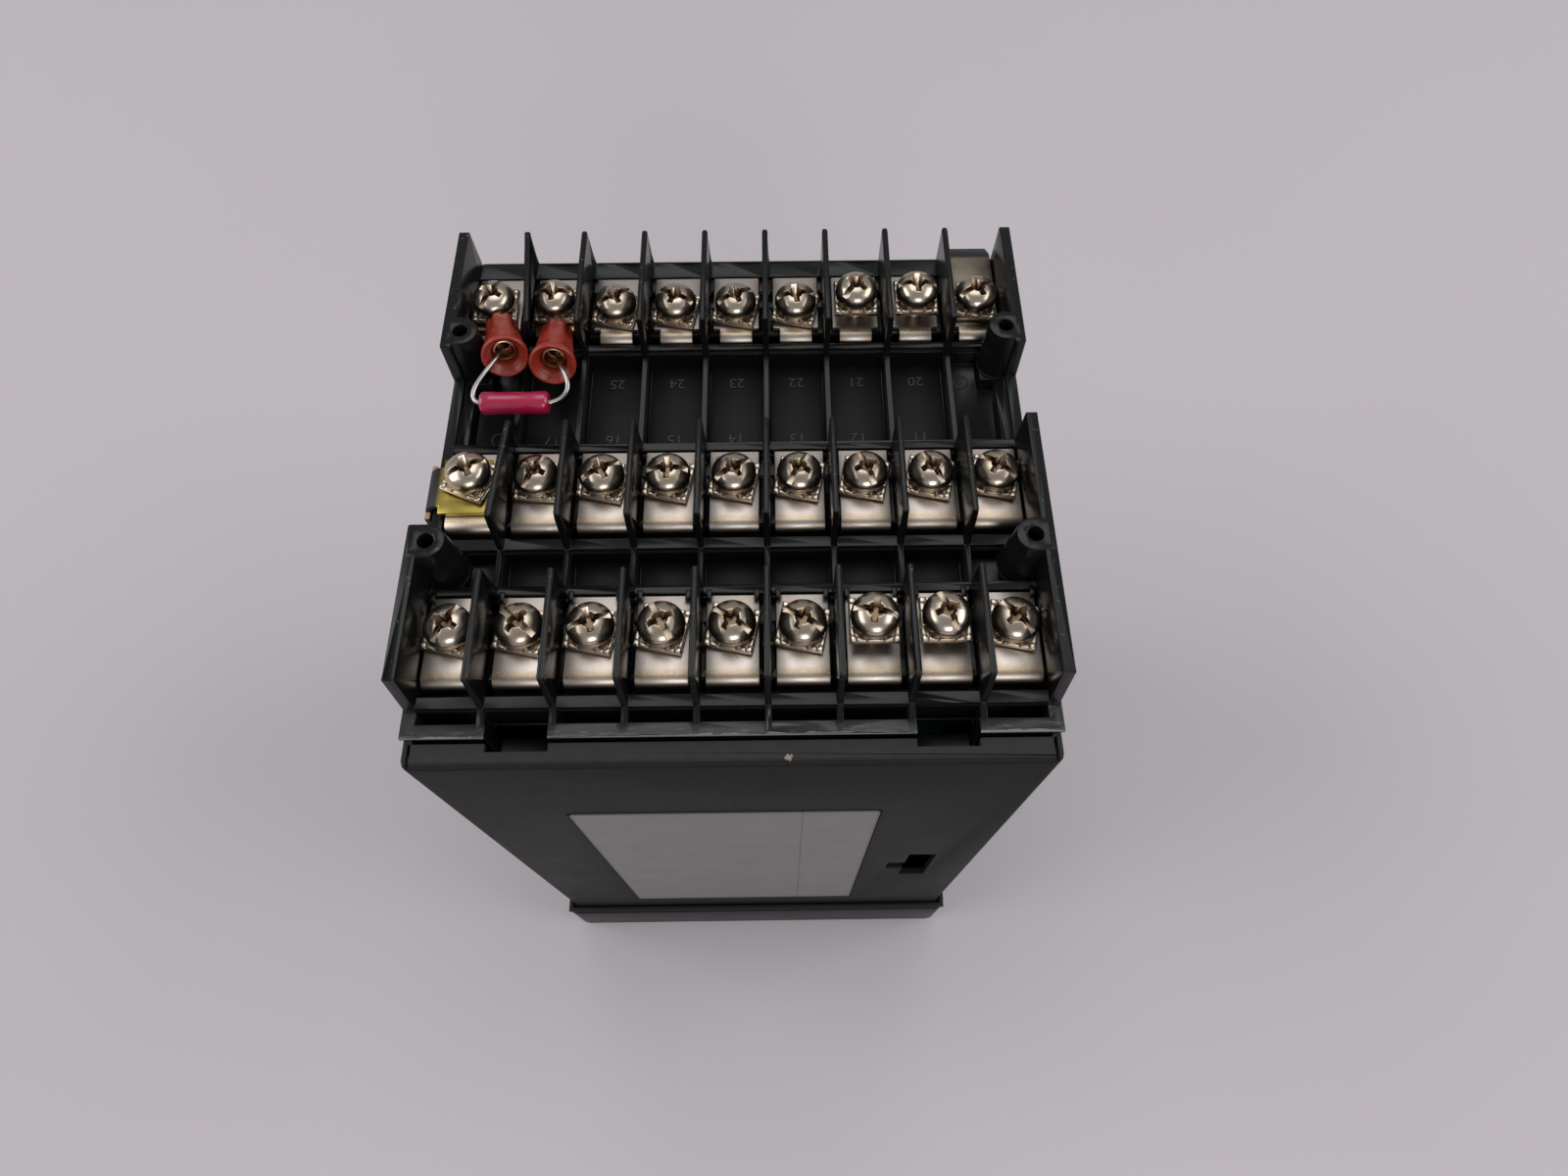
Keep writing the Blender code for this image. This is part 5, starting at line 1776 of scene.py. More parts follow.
@dataclass
class EarthClip:
    """One earth clip, modelled with its leg towards +X and then turned to its side.

    Args:
        side: Which clip, as in its CAD name.
        turn: Its turn about the case, in degrees.
        slope: Points of the outside of its bend, as (reach, drop).
        finish: Its plating.
        cheeks: Width of the shoulders that are cut off beside the slope, if any.
    """

    side: str
    turn: float
    slope: Sequence[Pair]
    finish: Plated
    cheeks: Pair | None = None
    sheet: float = 0.8 * MM
    round_edge: float = 0.12 * MM
    hole: float = 1.9 * MM
    leg_face: float = 47.4 * MM
    barb: Triple = (0.5 * MM, 2.4 * MM, 0.7 * MM)  # reach, width and height
    barb_level: float = 10.3 * MM
    barb_round: float = 0.08 * MM
    shoulder_start: float = 44.9 * MM
    shoulder_drop: float = 1.75 * MM

    def __post_init__(self) -> None:
        """Read the clip's box, turned back to the way in which it is modelled."""
        self.place = turned(self.turn)
        self.back = self.place.inverted()
        low, high = (self.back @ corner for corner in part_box(f"earth_clip_{self.side}"))
        self.foot, self.top = low.z, high.z
        self.inner = min(low.x, high.x)
        self.left, self.right = sorted((low.y, high.y))

    def build(self, screw: Vector) -> None:
        """Build a flat plate, a slope and a leg down the case's side.

        Args:
            screw: Where the clip's screw stands.
        """
        bm = bmesh.new()
        points = [self.place @ Vector((x, self.left, z)) for x, z in self._outline()]
        extrude_outline(bm, points, self.place @ Vector((0, self.right - self.left, 0)))
        bm = opened(cut_mesh(to_mesh(bm, "strap"), self._tools(screw)))
        soften(bm, self.round_edge)
        self._add_barb(bm)
        mesh = to_mesh(bm, f"clip_{self.side}")
        self._mark(mesh)
        node = f"earth_clip_{self.side}"
        add_piece(f"earth_strap_{self.side}", mesh, self.finish.build(), node)

    def _outline(self) -> list[Pair]:
        """Draw the clip's side.

        Returns:
            The outline's (x, z) points.
        """
        sheet, face, start = self.sheet, self.leg_face, self.slope[0][0]
        outside = [(reach, self.top - drop) for reach, drop in self.slope]
        inside = [(x - sheet * 0.75, z - sheet * 0.75) for x, z in outside[1:-1]]
        return [
            (self.inner, self.top),
            (start - 0.6 * MM, self.top),
            *outside,
            (face, self.foot),
            (face - sheet, self.foot),
            (face - sheet, outside[-1][1] - 0.2 * MM),
            *reversed(inside),
            (start - 0.1 * MM, self.top - sheet),
            (self.inner, self.top - sheet),
        ]

    def _tools(self, screw: Vector) -> list[Mesh]:
        """Make the cutters for the screw hole and for the shoulders beside the slope.

        Args:
            screw: Where the clip's screw stands.

        Returns:
            Closed meshes.
        """
        bm = bmesh.new()
        new_rod(bm, (self.hole,) * 2, 8 * MM, (screw.x, screw.y, self.top), 32)
        tools = [to_mesh(bm, "hole")]
        if self.cheeks:
            first, last = self.cheeks
            spans = (self.left - MM, self.left + first), (self.right - last, self.right + MM)
            for y0, y1 in spans:
                bm = bmesh.new()
                low = (self.shoulder_start, y0, self.top - self.shoulder_drop)
                new_box(bm, low, (self.leg_face + 1.6 * MM, y1, self.top + MM))
                bm.transform(self.place)
                tools.append(to_mesh(bm, "shoulder"))
        return tools

    def _add_barb(self, bm: BMesh) -> None:
        """Add the small wedge that catches the case's side.

        Args:
            bm: The mesh to add to.
        """
        reach, width, height = self.barb
        face, base = self.leg_face - 0.2 * MM, self.foot + self.barb_level
        middle = (self.left + self.right) / 2
        low = (face, middle - width / 2, base - 1.6 * MM)
        verts = new_box(bm, low, (face + 0.2 * MM + reach, middle + width / 2, base + height))
        for vert in verts:
            if vert.co.z < base and vert.co.x > face + 0.1 * MM:
                vert.co.x = face + 0.22 * MM
        bmesh.ops.transform(bm, matrix=self.place, verts=verts)
        bevel(bm, edges_of(verts), self.barb_round)

    def _mark(self, mesh: Mesh) -> None:
        """Mark the slope and leg for a painted shadow, the plate's top for painted brown shade, and
        the sheared shoulders.

        Args:
            mesh: The clip.
        """
        start = self.slope[0][0] - 0.3 * MM
        cut = self.top - self.shoulder_drop
        bare = self.cheeks is not None
        # painted shadow: the slope and the leg outside the case turn near black
        mark_points(mesh, "dark", lambda p: float((self.back @ p).x > start))
        # painted shade: the plate's top turns dark brown while its front edge stays bright
        mark_points(mesh, "shade", lambda p: 0.8 if p.z > self.top - LEVEL else 0.0)
        mark_points(mesh, "cut", lambda p: float(bare and abs(p.z - cut) < LEVEL))


def build_earth_clips() -> None:
    """Build the yellow clip at the left and the dull one at the rear."""
    yellow = Plated("yellow_passivate", (0.85, 0.66, 0.14), (0.3, 0.25, 0.1), 0.34, 0.3, 0.3)
    dull = Plated("dull_zinc", (0.4, 0.35, 0.28), (0.25, 0.2, 0.14), 0.4, 0.6, 0.5)
    steep = in_mm([(45.5, 0.0), (46.3, 0.3), (47.0, 0.9), (47.4, 1.7)])
    long = in_mm([(42.7, 0.0), (43.6, 0.35), (46.6, 2.3), (47.2, 2.9), (47.4, 3.5)])
    left = EarthClip("left", 180, steep, yellow, cheeks=(1.4 * MM, 1.3 * MM))
    left.build(screw_places(Row.MIDDLE)[0])
    EarthClip("rear", 90, long, dull).build(screw_places(Row.FAR)[-1])


@dataclass
class CrimpedEnd:
    """A ring terminal with its crimp barrel and its flared, fluted sleeve.

    Args:
        side: Which one, as in its CAD name.
        turn: Turn of its axis about Z, in degrees.
    """

    side: str
    turn: float
    tilt: float = 18.0
    length: float = 10.0 * MM
    mouth: float = 3.6 * MM
    crimp: float = 2.1 * MM
    lug_round: float = 0.08 * MM
    ring_pitch: float = 1.1 * MM
    ring_radii: Pair = (1.95 * MM, 1.8 * MM)  # on a ring and between two
    ring_wall: float = 0.3 * MM
    ring_ends: Pair = (3.9 * MM, 2.2 * MM)  # from the sleeve's crimp end and its mouth
    flutes: int = 7
    flute_depth: float = 0.2 * MM
    pressed: float = 0.55

    def __post_init__(self) -> None:
        """Find the place whose Z axis runs from the sleeve's crimp end to its mouth."""
        low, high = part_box(f"terminal_sleeve_{self.side}")
        tilt, yaw = math.radians(self.tilt), math.radians(self.turn)
        level = math.cos(tilt)
        axis = Vector((math.sin(yaw) * level, -math.cos(yaw) * level, math.sin(tilt)))
        spread = [math.sqrt(max(0.0, 1.0 - a * a)) for a in axis]
        start = Vector(
            (
                high.x - self.mouth * spread[0] - self.length * axis.x,
                high.y - self.crimp * spread[1],
                low.z + self.crimp * spread[2],
            )
        )
        turn = axis.to_track_quat("Z", "Y").to_matrix().to_4x4()
        self.place = Matrix.Translation(start) @ turn

    def build(self, copper: Material, vinyl: Material) -> None:
        """Build the lug, the barrel and the sleeve.

        Args:
            copper: Finish of the lug and the barrel.
            vinyl: Finish of the sleeve.
        """
        side = self.side
        bm = welded_copy(f"ring_terminal_{side}")
        bevel(bm, sharp_edges(bm, 50), self.lug_round)
        mesh = to_mesh(bm, f"lug_{side}")
        add_piece(f"crimp_lug_{side}", mesh, copper, f"ring_terminal_{side}")
        mesh = self._barrel()
        add_piece(f"crimp_barrel_{side}", mesh, copper, smooth=50)
        mesh, node = self._sleeve(), f"terminal_sleeve_{side}"
        add_piece(f"vinyl_sleeve_{side}", mesh, vinyl, node, smooth=60)

    def _barrel(self) -> Mesh:
        """Make the ringed crimp barrel that shows inside the sleeve's mouth.

        Returns:
            The barrel.
        """
        (wide, narrow), step = self.ring_radii, self.ring_pitch
        outside, height = [], self.ring_ends[0]
        while height < self.length - self.ring_ends[1]:
            outside += [(wide, height), (wide, height + 0.6 * step)]
            outside += [(narrow, height + 0.75 * step)]
            height += step
        inside = [(r - self.ring_wall, h) for r, h in reversed(outside)]
        bm = bmesh.new()
        spin_profile(bm, outside + inside, self.place, 32)
        return to_mesh(bm, f"barrel_{self.side}")

    def _sleeve(self) -> Mesh:
        """Make the bell-shaped sleeve with a rim at its mouth, pressed at its crimp end.

        Returns:
            The sleeve.
        """
        waist = [(1.8, 0.0), (2.3, 0.1), (2.42, 0.35), (2.46, 1.8), (2.55, 3.2)]
        bell = [(2.8, 4.6), (3.05, 6.2), (3.16, 8.4), (3.3, 8.7)]
        rim = [(3.58, 8.85), (3.66, 9.1), (3.66, 9.7), (3.58, 9.93), (3.42, 10.0), (3.22, 9.93)]
        throat = [(3.05, 9.7), (2.85, 9.3), (2.5, 9.05), (2.22, 8.8), (2.08, 8.4), (2.02, 7.8)]
        bore = [(2.0, 4.0), (1.72, 3.6), (1.66, 0.3)]
        bm = bmesh.new()
        verts = spin_profile(bm, in_mm(waist + bell + rim + throat + bore), steps=64)
        for vert in verts:
            self._press(vert.co)
        bmesh.ops.transform(bm, matrix=self.place, verts=verts)
        return to_mesh(bm, f"sleeve_{self.side}")

    def _press(self, point: Vector) -> None:
        """Dent a point of the sleeve's crimp end into upright flutes.

        Args:
            point: The point, which is moved.
        """
        share = max(0.0, 1.0 - point.z / (self.pressed * self.length))
        radius = math.hypot(point.x, point.y)
        if radius < 1.75 * MM or share == 0.0:
            return
        wave = math.cos(self.flutes * math.atan2(point.y, point.x))
        dent = self.flute_depth * wave * min(1.0, 2.5 * share)
        grown = (radius + dent) / radius
        point.x *= grown
        point.y *= grown


@dataclass
class ResistorLink:
    """Resistor whose leads run into two crimped, sleeved ring terminals."""

    turns: dict[str, float] = field(default_factory=lambda: {"left": 14.0, "right": 4.0})
    body_radius: float = 1.8 * MM
    body_rim: float = 0.7 * MM
    body_bore: float = 0.42 * MM
    waist_drop: float = 0.06 * MM
    waist_starts: Pair = (2.0 * MM, 2.9 * MM)
    lead_radius: float = 0.39 * MM
    lead_steps: int = 40

    def build(self) -> None:
        """Build the crimped ends, the body and the leads."""
        copper = Plated(
            "tinned_copper", (0.62, 0.36, 0.22), (0.4, 0.18, 0.09), 0.28, tarnished=0.6, specks=0.2
        ).build()
        vinyl = Clear("red_vinyl", (0.38, 0.04, 0.022), 0.28, 0.12, subsurface=0.25).build()
        lacquer = Clear("magenta_lacquer", (0.36, 0.004, 0.05), 0.3, coat=0.9, mottle=0.06).build()
        tin = Plated("tinned_wire", (0.46, 0.45, 0.43), (0.3, 0.28, 0.26), 0.32).build()
        ends = [CrimpedEnd(side, turn) for side, turn in self.turns.items()]
        for end in ends:
            end.build(copper, vinyl)
        mesh, slot = self._body(), "resistor_lacquer"
        add_piece("resistor_barrel", mesh, lacquer, "resistor_body", smooth=60)
        mesh, slot = self._leads(ends), "tinned_wire"
        add_piece("resistor_wire", mesh, tin, "resistor_leads", smooth=80)

    def _body(self) -> Mesh:
        """Make the resistor's body with rounded ends and a slight waist.

        Returns:
            The body.
        """
        low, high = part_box("resistor_body")
        half, radius, rim = (high.x - low.x) / 2, self.body_radius, self.body_rim
        profile = [(self.body_bore, half), *arc((radius - rim, half - rim), rim, 90, 0, 6)]
        start, end = self.waist_starts
        profile += [(radius, half - start), (radius - self.waist_drop, half - end)]
        profile += [(r, -h) for r, h in reversed(profile)]
        bm = bmesh.new()
        spin_profile(bm, profile, Matrix.Translation((low + high) / 2) @ turned(90, "Y"), 40)
        return to_mesh(bm, "resistor")

    def _lead_route(self, end: CrimpedEnd, goal: Vector, outward: float) -> list[Vector]:
        """Lead a wire from inside a barrel round to the resistor's end.

        Args:
            end: The crimped end that holds the barrel.
            goal: Middle of the resistor's end.
            outward: Sign of the way along X in which the wire bows.

        Returns:
            Points on a smooth curve.
        """
        start = end.place.translation
        along = end.place.to_3x3() @ Vector((0.0, 0.0, end.length))
        handles = [
            start + along * 0.25,
            start + along * 0.8,
            start + along + Vector((outward * 1.0, -0.6, 0.0)) * MM,
            start + along + Vector((outward * 4.2, -2.6, -0.8)) * MM,
            goal + Vector((outward * 3.2, 0.8, 0.0)) * MM,
            goal,
        ]
        points = []
        for step in range(self.lead_steps + 1):
            share, level = step / self.lead_steps, handles
            while len(level) > 1:
                level = [a.lerp(b, share) for a, b in zip(level, level[1:])]
            points.append(level[0])
        return points

    def _leads(self, ends: Sequence[CrimpedEnd]) -> Mesh:
        """Make one round wire from barrel to barrel through the resistor.

        Args:
            ends: The left and the right crimped end.

        Returns:
            The wire.
        """
        middle = middle_of("resistor_body")
        goals = [Vector((corner.x, middle.y, middle.z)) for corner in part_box("resistor_body")]
        route = self._lead_route(ends[0], goals[0], -1.0)
        route += self._lead_route(ends[1], goals[1], 1.0)[::-1]
        curve = bpy.data.curves.new("leads", "CURVE")
        curve.dimensions = "3D"
        curve.bevel_depth = self.lead_radius
        curve.bevel_resolution = 5
        curve.use_fill_caps = True
        spline = curve.splines.new("POLY")
        spline.points.add(len(route) - 1)
        for slot, point in zip(spline.points, route):
            slot.co = (*point, 1.0)
        bm = opened(evaluated_mesh(add_object("leads", curve)))
        bmesh.ops.remove_doubles(bm, verts=bm.verts, dist=WELD / 2)
        return to_mesh(bm, "leads")


@dataclass
class FrontPanel:
    """The bezel, its eight marked keys and the display behind its window."""

    edge_round: float = 0.3 * MM
    print_height: float = 0.08 * MM
    print_round: float = 0.03 * MM
    bar: Pair = (1.0 * MM, 3.2 * MM)  # width and height
    bar_pitch: float = 2.0 * MM
    arrow_radius: float = 2.3 * MM
    ring: Pair = (1.5 * MM, 2.2 * MM)  # inner and outer radius
    ring_bar: Pair = (0.6 * MM, 2.6 * MM)
    digit: Pair = (7.5 * MM, 13.0 * MM)
    digit_pitch: float = 14.0 * MM
    digit_rows: tuple[Pair, Pair] = ((9.0 * MM, 1.0), (-10.5 * MM, 0.75))  # place and scale
    segment: float = 1.1 * MM
    segment_gap: float = 0.25 * MM
    segment_round: float = 0.05 * MM
    segment_span: Pair = (-0.12 * MM, 0.1 * MM)  # low and high against the backing
    slant: float = 0.12

    def build(self) -> None:
        """Build and dress the front."""
        shell = Plastic(
            "bezel_plastic", (0.008, 0.008, 0.0085), 0.44, sheen=0.25, grain_depth=0.01 * MM
        ).build()
        rubber = Plastic("gasket_rubber", (0.009, 0.009, 0.009), 0.75).build()
        soften_node("bezel", "front_bezel", shell, self.edge_round)
        soften_node("bezel_gasket", "sealing_gasket", rubber, 0.15 * MM)
        self._build_keys()
        self._build_display()

    def _build_keys(self) -> None:
        """Build the key caps with plain marks printed on them."""
        caps = Plastic("key_plastic", (0.2, 0.205, 0.215), 0.5).build()
        ink = Plastic("key_ink", (0.7, 0.7, 0.68), 0.5).build()
        marks = (self._bars, self._arrow, self._ring, self._bars) * 2
        for number, mark in enumerate(marks, start=1):
            node, body = f"key_{number}", f"button_{number}"
            soften_node(node, f"key_cap_{number}", caps, 0.35 * MM, body)
            place = middle_of(node)
            place.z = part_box(node)[0].z - self.print_height / 2
            bm = bmesh.new()
            mark(bm, number)
            bm.transform(Matrix.Translation(place))
            name = f"key_mark_{number}"
            add_piece(name, to_mesh(bm, name), ink, body=body)

    def _bars(self, bm: BMesh, number: int) -> None:
        """Add the one to four short bars of a key.

        Args:
            bm: The mesh to add to.
            number: The key's number.
        """
        count = 1 + number % 4
        wide, tall, half = self.bar[0] / 2, self.bar[1] / 2, self.print_height
        for i in range(count):
            x = (i - (count - 1) / 2) * self.bar_pitch
            round_box(bm, (x - wide, -tall, -half), (x + wide, tall, half), self.print_round)

    def _arrow(self, bm: BMesh, number: int) -> None:
        """Add a triangle that points up or down.

        Args:
            bm: The mesh to add to.
            number: The key's number.
        """
        turn = turned(0 if number < 5 else 180)
        new_rod(bm, (self.arrow_radius,) * 2, 2 * self.print_height, turn, 3)
        bevel(bm, sharp_edges(bm, 70), self.print_round)

    def _ring(self, bm: BMesh, number: int) -> None:
        """Add a ring, with a bar in it on the lower row.

        Args:
            bm: The mesh to add to.
            number: The key's number.
        """
        half = self.print_height
        (inner, outer), (wide, tall) = self.ring, self.ring_bar
        profile = [(inner, -half), (inner, half), (outer, half), (outer, -half)]
        spin_profile(bm, profile, steps=36)
        if number > 4:
            new_box(bm, (-wide / 2, -tall / 2, -half), (wide / 2, tall / 2, half))

    def _build_display(self) -> None:
        """Build the smoked window, the display module and two rows of unlit digits."""
        window = Clear("smoked_window", (0.35, 0.37, 0.36), 0.08, 0.85).build()
        backing = Plastic("display_glass", (0.016, 0.02, 0.017), 0.2).build()
        unlit = Plastic("unlit_segments", (0.34, 0.37, 0.3), 0.35).build()
        soften_node("display_window", "front_window", window, 0.12 * MM)
        soften_node("display_module", "display_block", backing, 0.2 * MM)
        middle = middle_of("display_module")
        middle.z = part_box("display_module")[0].z
        bm = bmesh.new()
        for row, scale in self.digit_rows:
            for i in range(4):
                step = Vector(((i - 1.5) * self.digit_pitch * scale, row, 0.0))
                self._add_digit(bm, middle + step, scale)
        name = "display_segments"
        add_piece(name, to_mesh(bm, name), unlit, body=Body.CHASSIS)

    def _add_digit(self, bm: BMesh, middle: Vector, scale: float) -> None:
        """Add seven slanted segments and a point.

        Args:
            bm: The mesh to add to.
            middle: Middle of the digit.
            scale: Its size against the largest digits.
        """
        half_x, half_y = (side * scale / 2 for side in self.digit)
        wide, gap = self.segment * scale, self.segment_gap
        upright = [(s * half_x, t * half_y / 2) for s in (-1, 1) for t in (-1, 1)]
        shapes = [(0, y, half_x - gap - wide / 2, wide / 2) for y in (half_y, 0, -half_y)]
        shapes += [(x, y, wide / 2, half_y / 2 - gap - wide / 2) for x, y in upright]
        shapes.append((half_x + 2 * wide, -half_y, wide / 2, wide / 2))
        z0, z1 = self.segment_span
        for x, y, a, b in shapes:
            verts = new_box(bm, (x - a, y - b, z0), (x + a, y + b, z1))
            for vert in verts:
                vert.co.x -= self.slant * vert.co.y
                vert.co += middle
            bevel(bm, edges_of(verts), self.segment_round)


@dataclass
class ChassisBoards:
    """The boards behind the front and the parts that stand on them."""

    finger_pitch: float = 3.0 * MM
    finger_width: float = 1.9 * MM
    finger_span: Pair = (9.0 * MM, 0.6 * MM)  # from the board's rear end
    finger_film: float = 0.05 * MM
    pin_pitch: float = 1.8  # the pins' sizes are in millimetres, as the chips' are
    pin_reach: float = 0.7
    pin_half_width: float = 0.3
    sink_fins: int = 8

    def __post_init__(self) -> None:
        """Read the two long boards' boxes and where their outer faces lie along Y."""
        self.logic, self.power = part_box("processor_board"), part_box("power_board")
        self.logic_face, self.power_face = self.logic[0].y, self.power[1].y

    def build(self) -> None:
        """Build and dress the chassis."""
        dark = Plastic("frame_plastic", (0.045, 0.045, 0.047), 0.5).build()
        soften_node("chassis_frame", "board_frame", dark, 0.25 * MM)
        for node in ("front_board", "processor_board", "power_board"):
            green = Board(f"{node}_green").build()
            soften_node(node, f"{node}_laminate", green, 0.12 * MM)
        core = Winding("transformer_core").build()
        soften_node("transformer", "mains_transformer", core, 0.6 * MM)
        zinc = Plated("screw_zinc", (0.55, 0.53, 0.5), (0.4, 0.36, 0.3)).build()
        soften_node("chassis_screw", "retaining_screw", zinc, 0.15 * MM)
        socket = Plastic("connector_plastic", (0.02, 0.02, 0.02), 0.45).build()
        node = "rear_edge_connector"
        soften_node(node, "board_sockets", socket, 0.25 * MM, Body.CASE)
        self._build_parts()

    def _build_parts(self) -> None:
        """Build what stands on the two long boards."""
        epoxy = Plastic("chip_epoxy", (0.02, 0.02, 0.021), 0.5).build()
        cans = Plastic("capacitor_sleeve", (0.02, 0.03, 0.09), 0.3).build()
        white = Plastic("relay_case", (0.5, 0.5, 0.47), 0.4).build()
        gold = Plated("gold_fingers", (0.8, 0.6, 0.25), (0.6, 0.42, 0.15)).build()
        tin = Plated("soldered_pins", (0.6, 0.59, 0.57), (0.42, 0.4, 0.37)).build()
        pieces = {
            "logic_chips": (self._chips(), epoxy, "frame_plastic"),
            "chip_pins": (self._pins(), tin, "tinned_wire"),
            "power_capacitors": (self._capacitors(), cans, "frame_plastic"),
            "output_relays": (self._relays(), white, "frame_plastic"),
            "heat_sink": (self._heat_sink(), tin, "core_steel"),
            "edge_fingers": (self._fingers(), gold, "contact_metal"),
        }
        for name, (mesh, material, slot) in pieces.items():
            add_piece(name, mesh, material, body=Body.CHASSIS)

    @staticmethod
    def _chip_places() -> list[tuple[float, ...]]:
        """List the chips.

        Returns:
            Middle, half sizes and height of each, in millimetres along X and Z.
        """
        rows = [(-22.0, 45.0, 11.0, 11.0, 3.6), (8.0, 40.0, 4.5, 17.0, 3.4)]
        rows += [(24.0, 44.0, 4.5, 13.0, 3.4), (-25.0, 78.0, 5.0, 8.0, 2.4)]
        rows += [(-8.0, 80.0, 3.2, 6.0, 2.0), (4.0, 80.0, 3.2, 6.0, 2.0)]
        rows += [(20.0, 84.0, 6.0, 4.0, 4.0), (-20.0, 108.0, 3.2, 9.0, 2.4)]
        rows += [(-2.0, 110.0, 3.2, 5.0, 2.0), (14.0, 108.0, 3.2, 9.0, 2.4)]
        return rows

    def _chips(self) -> Mesh:
        """Make chip bodies, each with a dimple in a corner.

        Returns:
            The chips.
        """
        bm, tool, face = bmesh.new(), bmesh.new(), self.logic_face
        for x, z, half_x, half_z, height in self._chip_places():
            top = face - height * MM
            low = ((x - half_x) * MM, top, (z - half_z) * MM)
            high = ((x + half_x) * MM, face - 0.25 * MM, (z + half_z) * MM)
            round_box(bm, low, high, 0.25 * MM)
            spot = ((x - half_x + 1.5) * MM, top, (z + half_z - 1.5) * MM)
            new_ball(tool, 0.6 * MM, Matrix.Translation(spot))
        return cut_mesh(to_mesh(bm, "chips"), [to_mesh(tool, "dimples")])

    def _pins(self) -> Mesh:
        """Make bent pins along the long sides of each chip.

        Returns:
            The pins.
        """
        bm = bmesh.new()
        for x, z, half_x, half_z, height in self._chip_places():
            count = int(2 * half_z / self.pin_pitch)
            knee = self.logic_face - 0.55 * height * MM
            for i in range(count):
                at = z + (i - (count - 1) / 2) * self.pin_pitch
                for side in (-1, 1):
                    self._add_pin(bm, (x + side * half_x, at), side, knee)
        return to_mesh(bm, "pins")

    def _add_pin(self, bm: BMesh, root: Pair, side: int, knee: float) -> None:
        """Add a pin's level shoulder and its upright foot.

        Args:
            bm: The mesh to add to.
            root: Where it leaves the chip, in millimetres along X and Z.
            side: Sign of the way along X in which it leaves.
            knee: Where its shoulder's inner face lies along Y.
        """
        inner, outer, at = root[0] * MM, (root[0] + side * self.pin_reach) * MM, root[1] * MM
        half, slim = self.pin_half_width * MM, (self.pin_half_width - 0.05) * MM
        x0, x1 = sorted((inner, outer))
        new_box(bm, (x0, knee - 0.12 * MM, at - half), (x1, knee, at + half))
        x0, x1 = sorted((outer - side * 0.15 * MM, outer + side * 0.1 * MM))
        foot = self.logic_face + 0.05 * MM
        new_box(bm, (x0, knee - 0.1 * MM, at - slim), (x1, foot, at + slim))

    def _capacitors(self) -> Mesh:
        """Make upright electrolytic cans with a crimped foot and a rounded top.

        Returns:
            The cans.
        """
        bm = bmesh.new()
        cans = [(-26, 40, 6.0, 16), (-26, 56, 5.0, 14), (-30, 100, 4.0, 11), (30, 46, 4.0, 11)]
        cans += [(30, 58, 3.0, 8), (-14, 116, 2.5, 7)]
        for x, z, radius, height in cans:
            foot = [(0, 0), (radius, 0), (radius, 1.0), (radius - 0.35, 1.4), (radius, 1.9)]
            top = [(radius, height - 0.8), (radius - 0.25, height - 0.2), (radius - 0.8, height)]
            lid = [(radius - 1.1, height - 0.25), (0, height - 0.25)]
            spot = Matrix.Translation((x * MM, self.power_face, z * MM))
            spin_profile(bm, in_mm(foot + top + lid), spot @ turned(-90, "X"), 36)
        return to_mesh(bm, "capacitors")

    def _relays(self) -> Mesh:
        """Make relay cases with a rounded top and a raised rib.

        Returns:
            The relays.
        """
        bm, face = bmesh.new(), self.power_face
        for x in (-15.0, 2.0, 19.0):
            low = ((x - 6.2) * MM, face + 0.4 * MM, 82 * MM)
            round_box(bm, low, ((x + 6.2) * MM, face + 15 * MM, 101 * MM), 0.7 * MM, 3)
            low = ((x - 4) * MM, face + 14.6 * MM, 84 * MM)
            round_box(bm, low, ((x + 4) * MM, face + 15.4 * MM, 85.4 * MM), 0.2 * MM)
        return to_mesh(bm, "relays")

    def _heat_sink(self) -> Mesh:
        """Make the finned sink beside the capacitors.

        Returns:
            The sink.
        """
        bm = bmesh.new()
        base, edge = self.power_face + 0.3 * MM, 0.2 * MM
        round_box(bm, (-8 * MM, base, 36 * MM), (16 * MM, base + 2 * MM, 66 * MM), edge)
        for i in range(self.sink_fins):
            x = 3.2 * i - 7.4
            low = ((x - 0.5) * MM, base + MM, 36.5 * MM)
            round_box(bm, low, ((x + 0.5) * MM, base + 11 * MM, 65.5 * MM), edge)
        return to_mesh(bm, "sink")

    def _fingers(self) -> Mesh:
        """Make the contact fingers at the rear ends of both boards, on both of their faces.

        Returns:
            The fingers.
        """
        bm = bmesh.new()
        half, film, span = self.finger_width / 2, self.finger_film, self.finger_span
        for low, high in (self.logic, self.power):
            z0, z1 = high.z - span[0], high.z - span[1]
            for i in range(-11, 12):
                x = i * self.finger_pitch
                for y in (low.y, high.y):
                    new_box(bm, (x - half, y - film, z0), (x + half, y + film, z1))
        return to_mesh(bm, "fingers")


# Stage


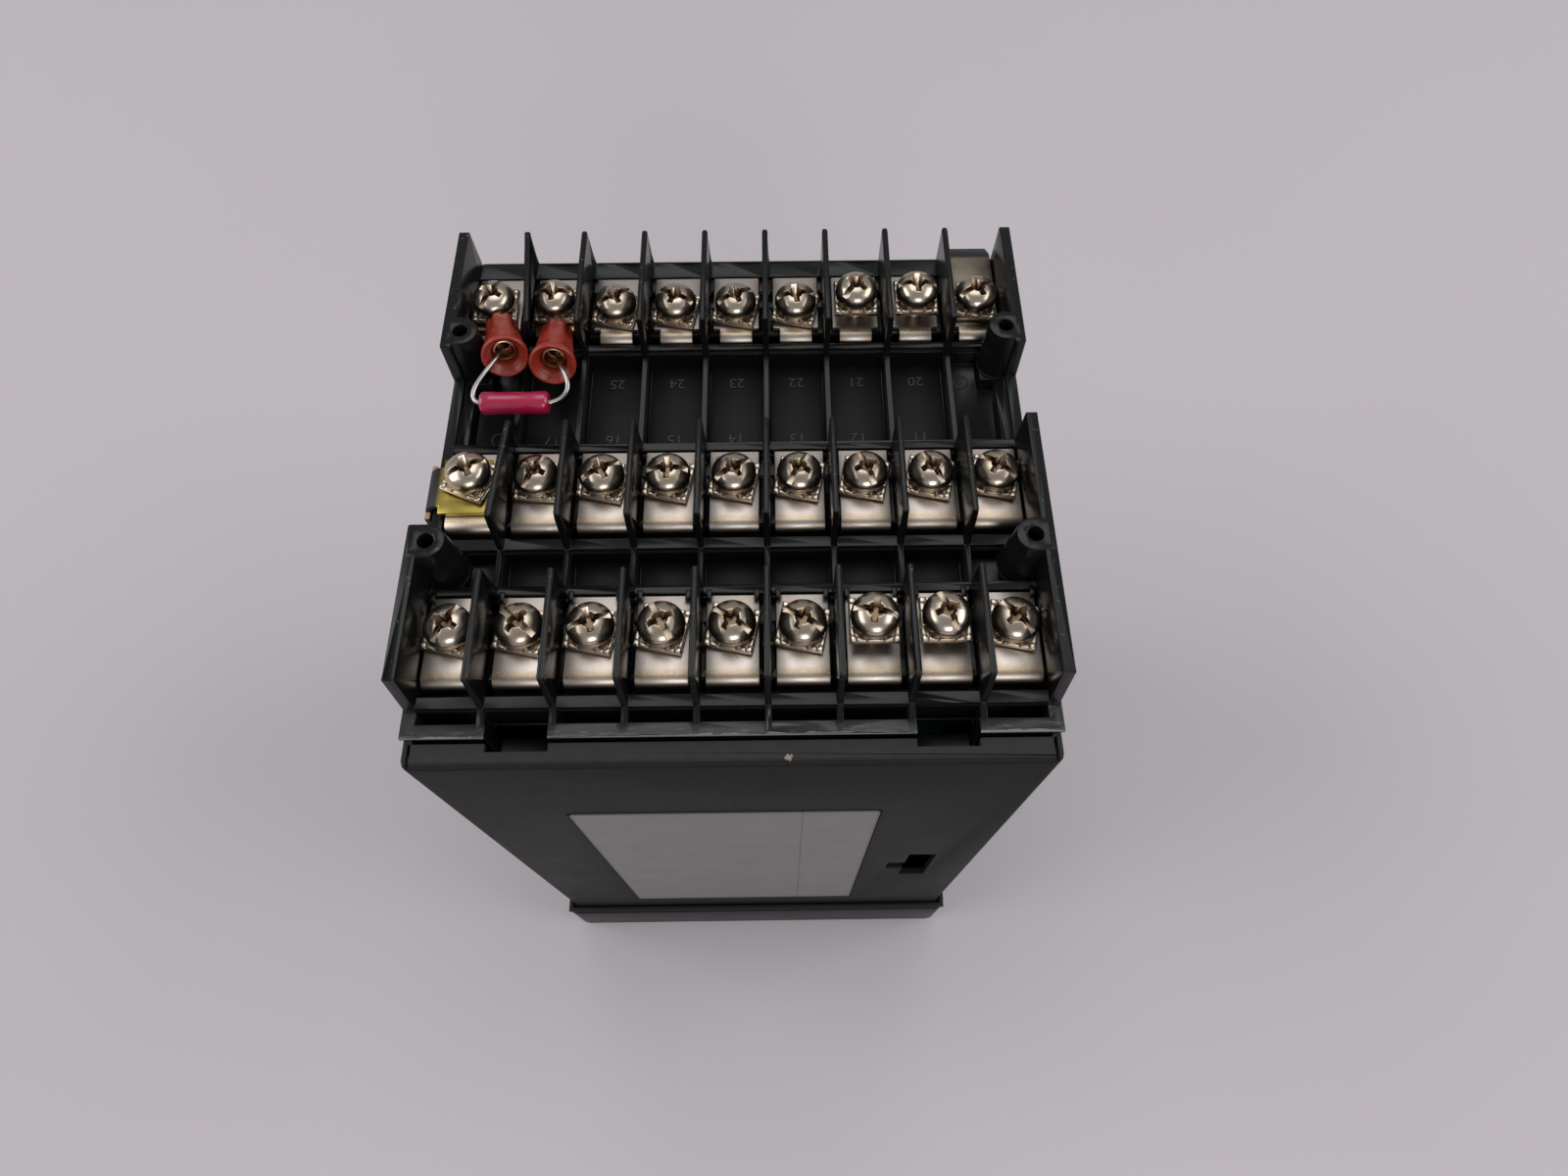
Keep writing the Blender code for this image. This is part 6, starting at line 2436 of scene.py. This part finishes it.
@dataclass
class Studio:
    """Pale floor, soft lamps and the camera."""

    camera_place: Triple = (6.69 * MM, -83.84 * MM, 281.49 * MM)
    camera_turn: Triple = (25.83, 0.03, -0.74)
    lens: float = 22.71
    sensor_width: float = 36.0
    nearest_sight: float = 0.005
    floor_half: float = 3.0
    sky: Triple = (0.93, 0.93, 0.96)
    sky_strength: float = 0.3

    def build(self) -> None:
        """Build the stage."""
        self._build_floor()
        self._build_camera()
        self._add_lamp("ceiling_lamp", (0, 0.5, 1.35), (0, 0, 0.15), 0.8, 3.3)
        self._add_lamp("front_lamp", (0.15, -1.15, 0.75), (0, 0, 0.12), 0.5, 3.4)
        self._add_lamp("left_lamp", (-1.3, 0, 1.0), (0, 0, 0.1), 1.2, 11.2)
        self._add_lamp("right_lamp", (1.3, 0, 1.0), (0, 0, 0.1), 1.2, 10.8)
        self._build_world()
        bpy.context.scene.view_settings.view_transform = "Standard"

    def _build_floor(self) -> None:
        """Build a wide flat floor at the foot of the object."""
        bm = bmesh.new()
        bmesh.ops.create_grid(bm, x_segments=1, y_segments=1, size=self.floor_half)
        mesh = to_mesh(bm, "floor")
        mesh.materials.append(FloorFinish("floor_paint").build())
        add_object("floor", mesh)

    def _build_camera(self) -> None:
        """Build the camera that looks down on the terminals from the label side."""
        data = bpy.data.cameras.new("camera")
        data.sensor_width = self.sensor_width
        data.lens = self.lens
        data.clip_start = self.nearest_sight
        camera = add_object("camera", data)
        camera.location = self.camera_place
        camera.rotation_euler = Euler([math.radians(a) for a in self.camera_turn])
        bpy.context.scene.camera = camera

    @staticmethod
    def _add_lamp(name: str, place: Triple, aim: Triple, size: float, power: float) -> None:
        """Add a square soft lamp that faces a point.

        Args:
            name: The lamp's name.
            place: Where it hangs.
            aim: The point that it faces.
            size: Length of its side.
            power: What it gives off, in watts.
        """
        data = bpy.data.lights.new(name, "AREA")
        data.size = size
        data.energy = power
        lamp = add_object(name, data)
        lamp.location = place
        away = Vector(place) - Vector(aim)
        lamp.rotation_euler = away.to_track_quat("Z", "Y").to_euler()

    def _build_world(self) -> None:
        """Build even, pale surroundings."""
        world = bpy.data.worlds.new("surroundings")
        world.use_nodes = True
        background = world.node_tree.nodes["Background"]
        background.inputs["Color"].default_value = (*self.sky, 1.0)
        background.inputs["Strength"].default_value = self.sky_strength
        bpy.context.scene.world = world


def main() -> None:
    """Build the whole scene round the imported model."""
    logging.basicConfig(level=logging.INFO, format="%(message)s")
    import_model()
    Studio().build()
    TerminalBlock().build()
    ScrewSet().build()
    ContactRows().build()
    Case().build()
    build_earth_clips()
    ResistorLink().build()
    FrontPanel().build()
    ChassisBoards().build()


if __name__ == "__main__":
    main()
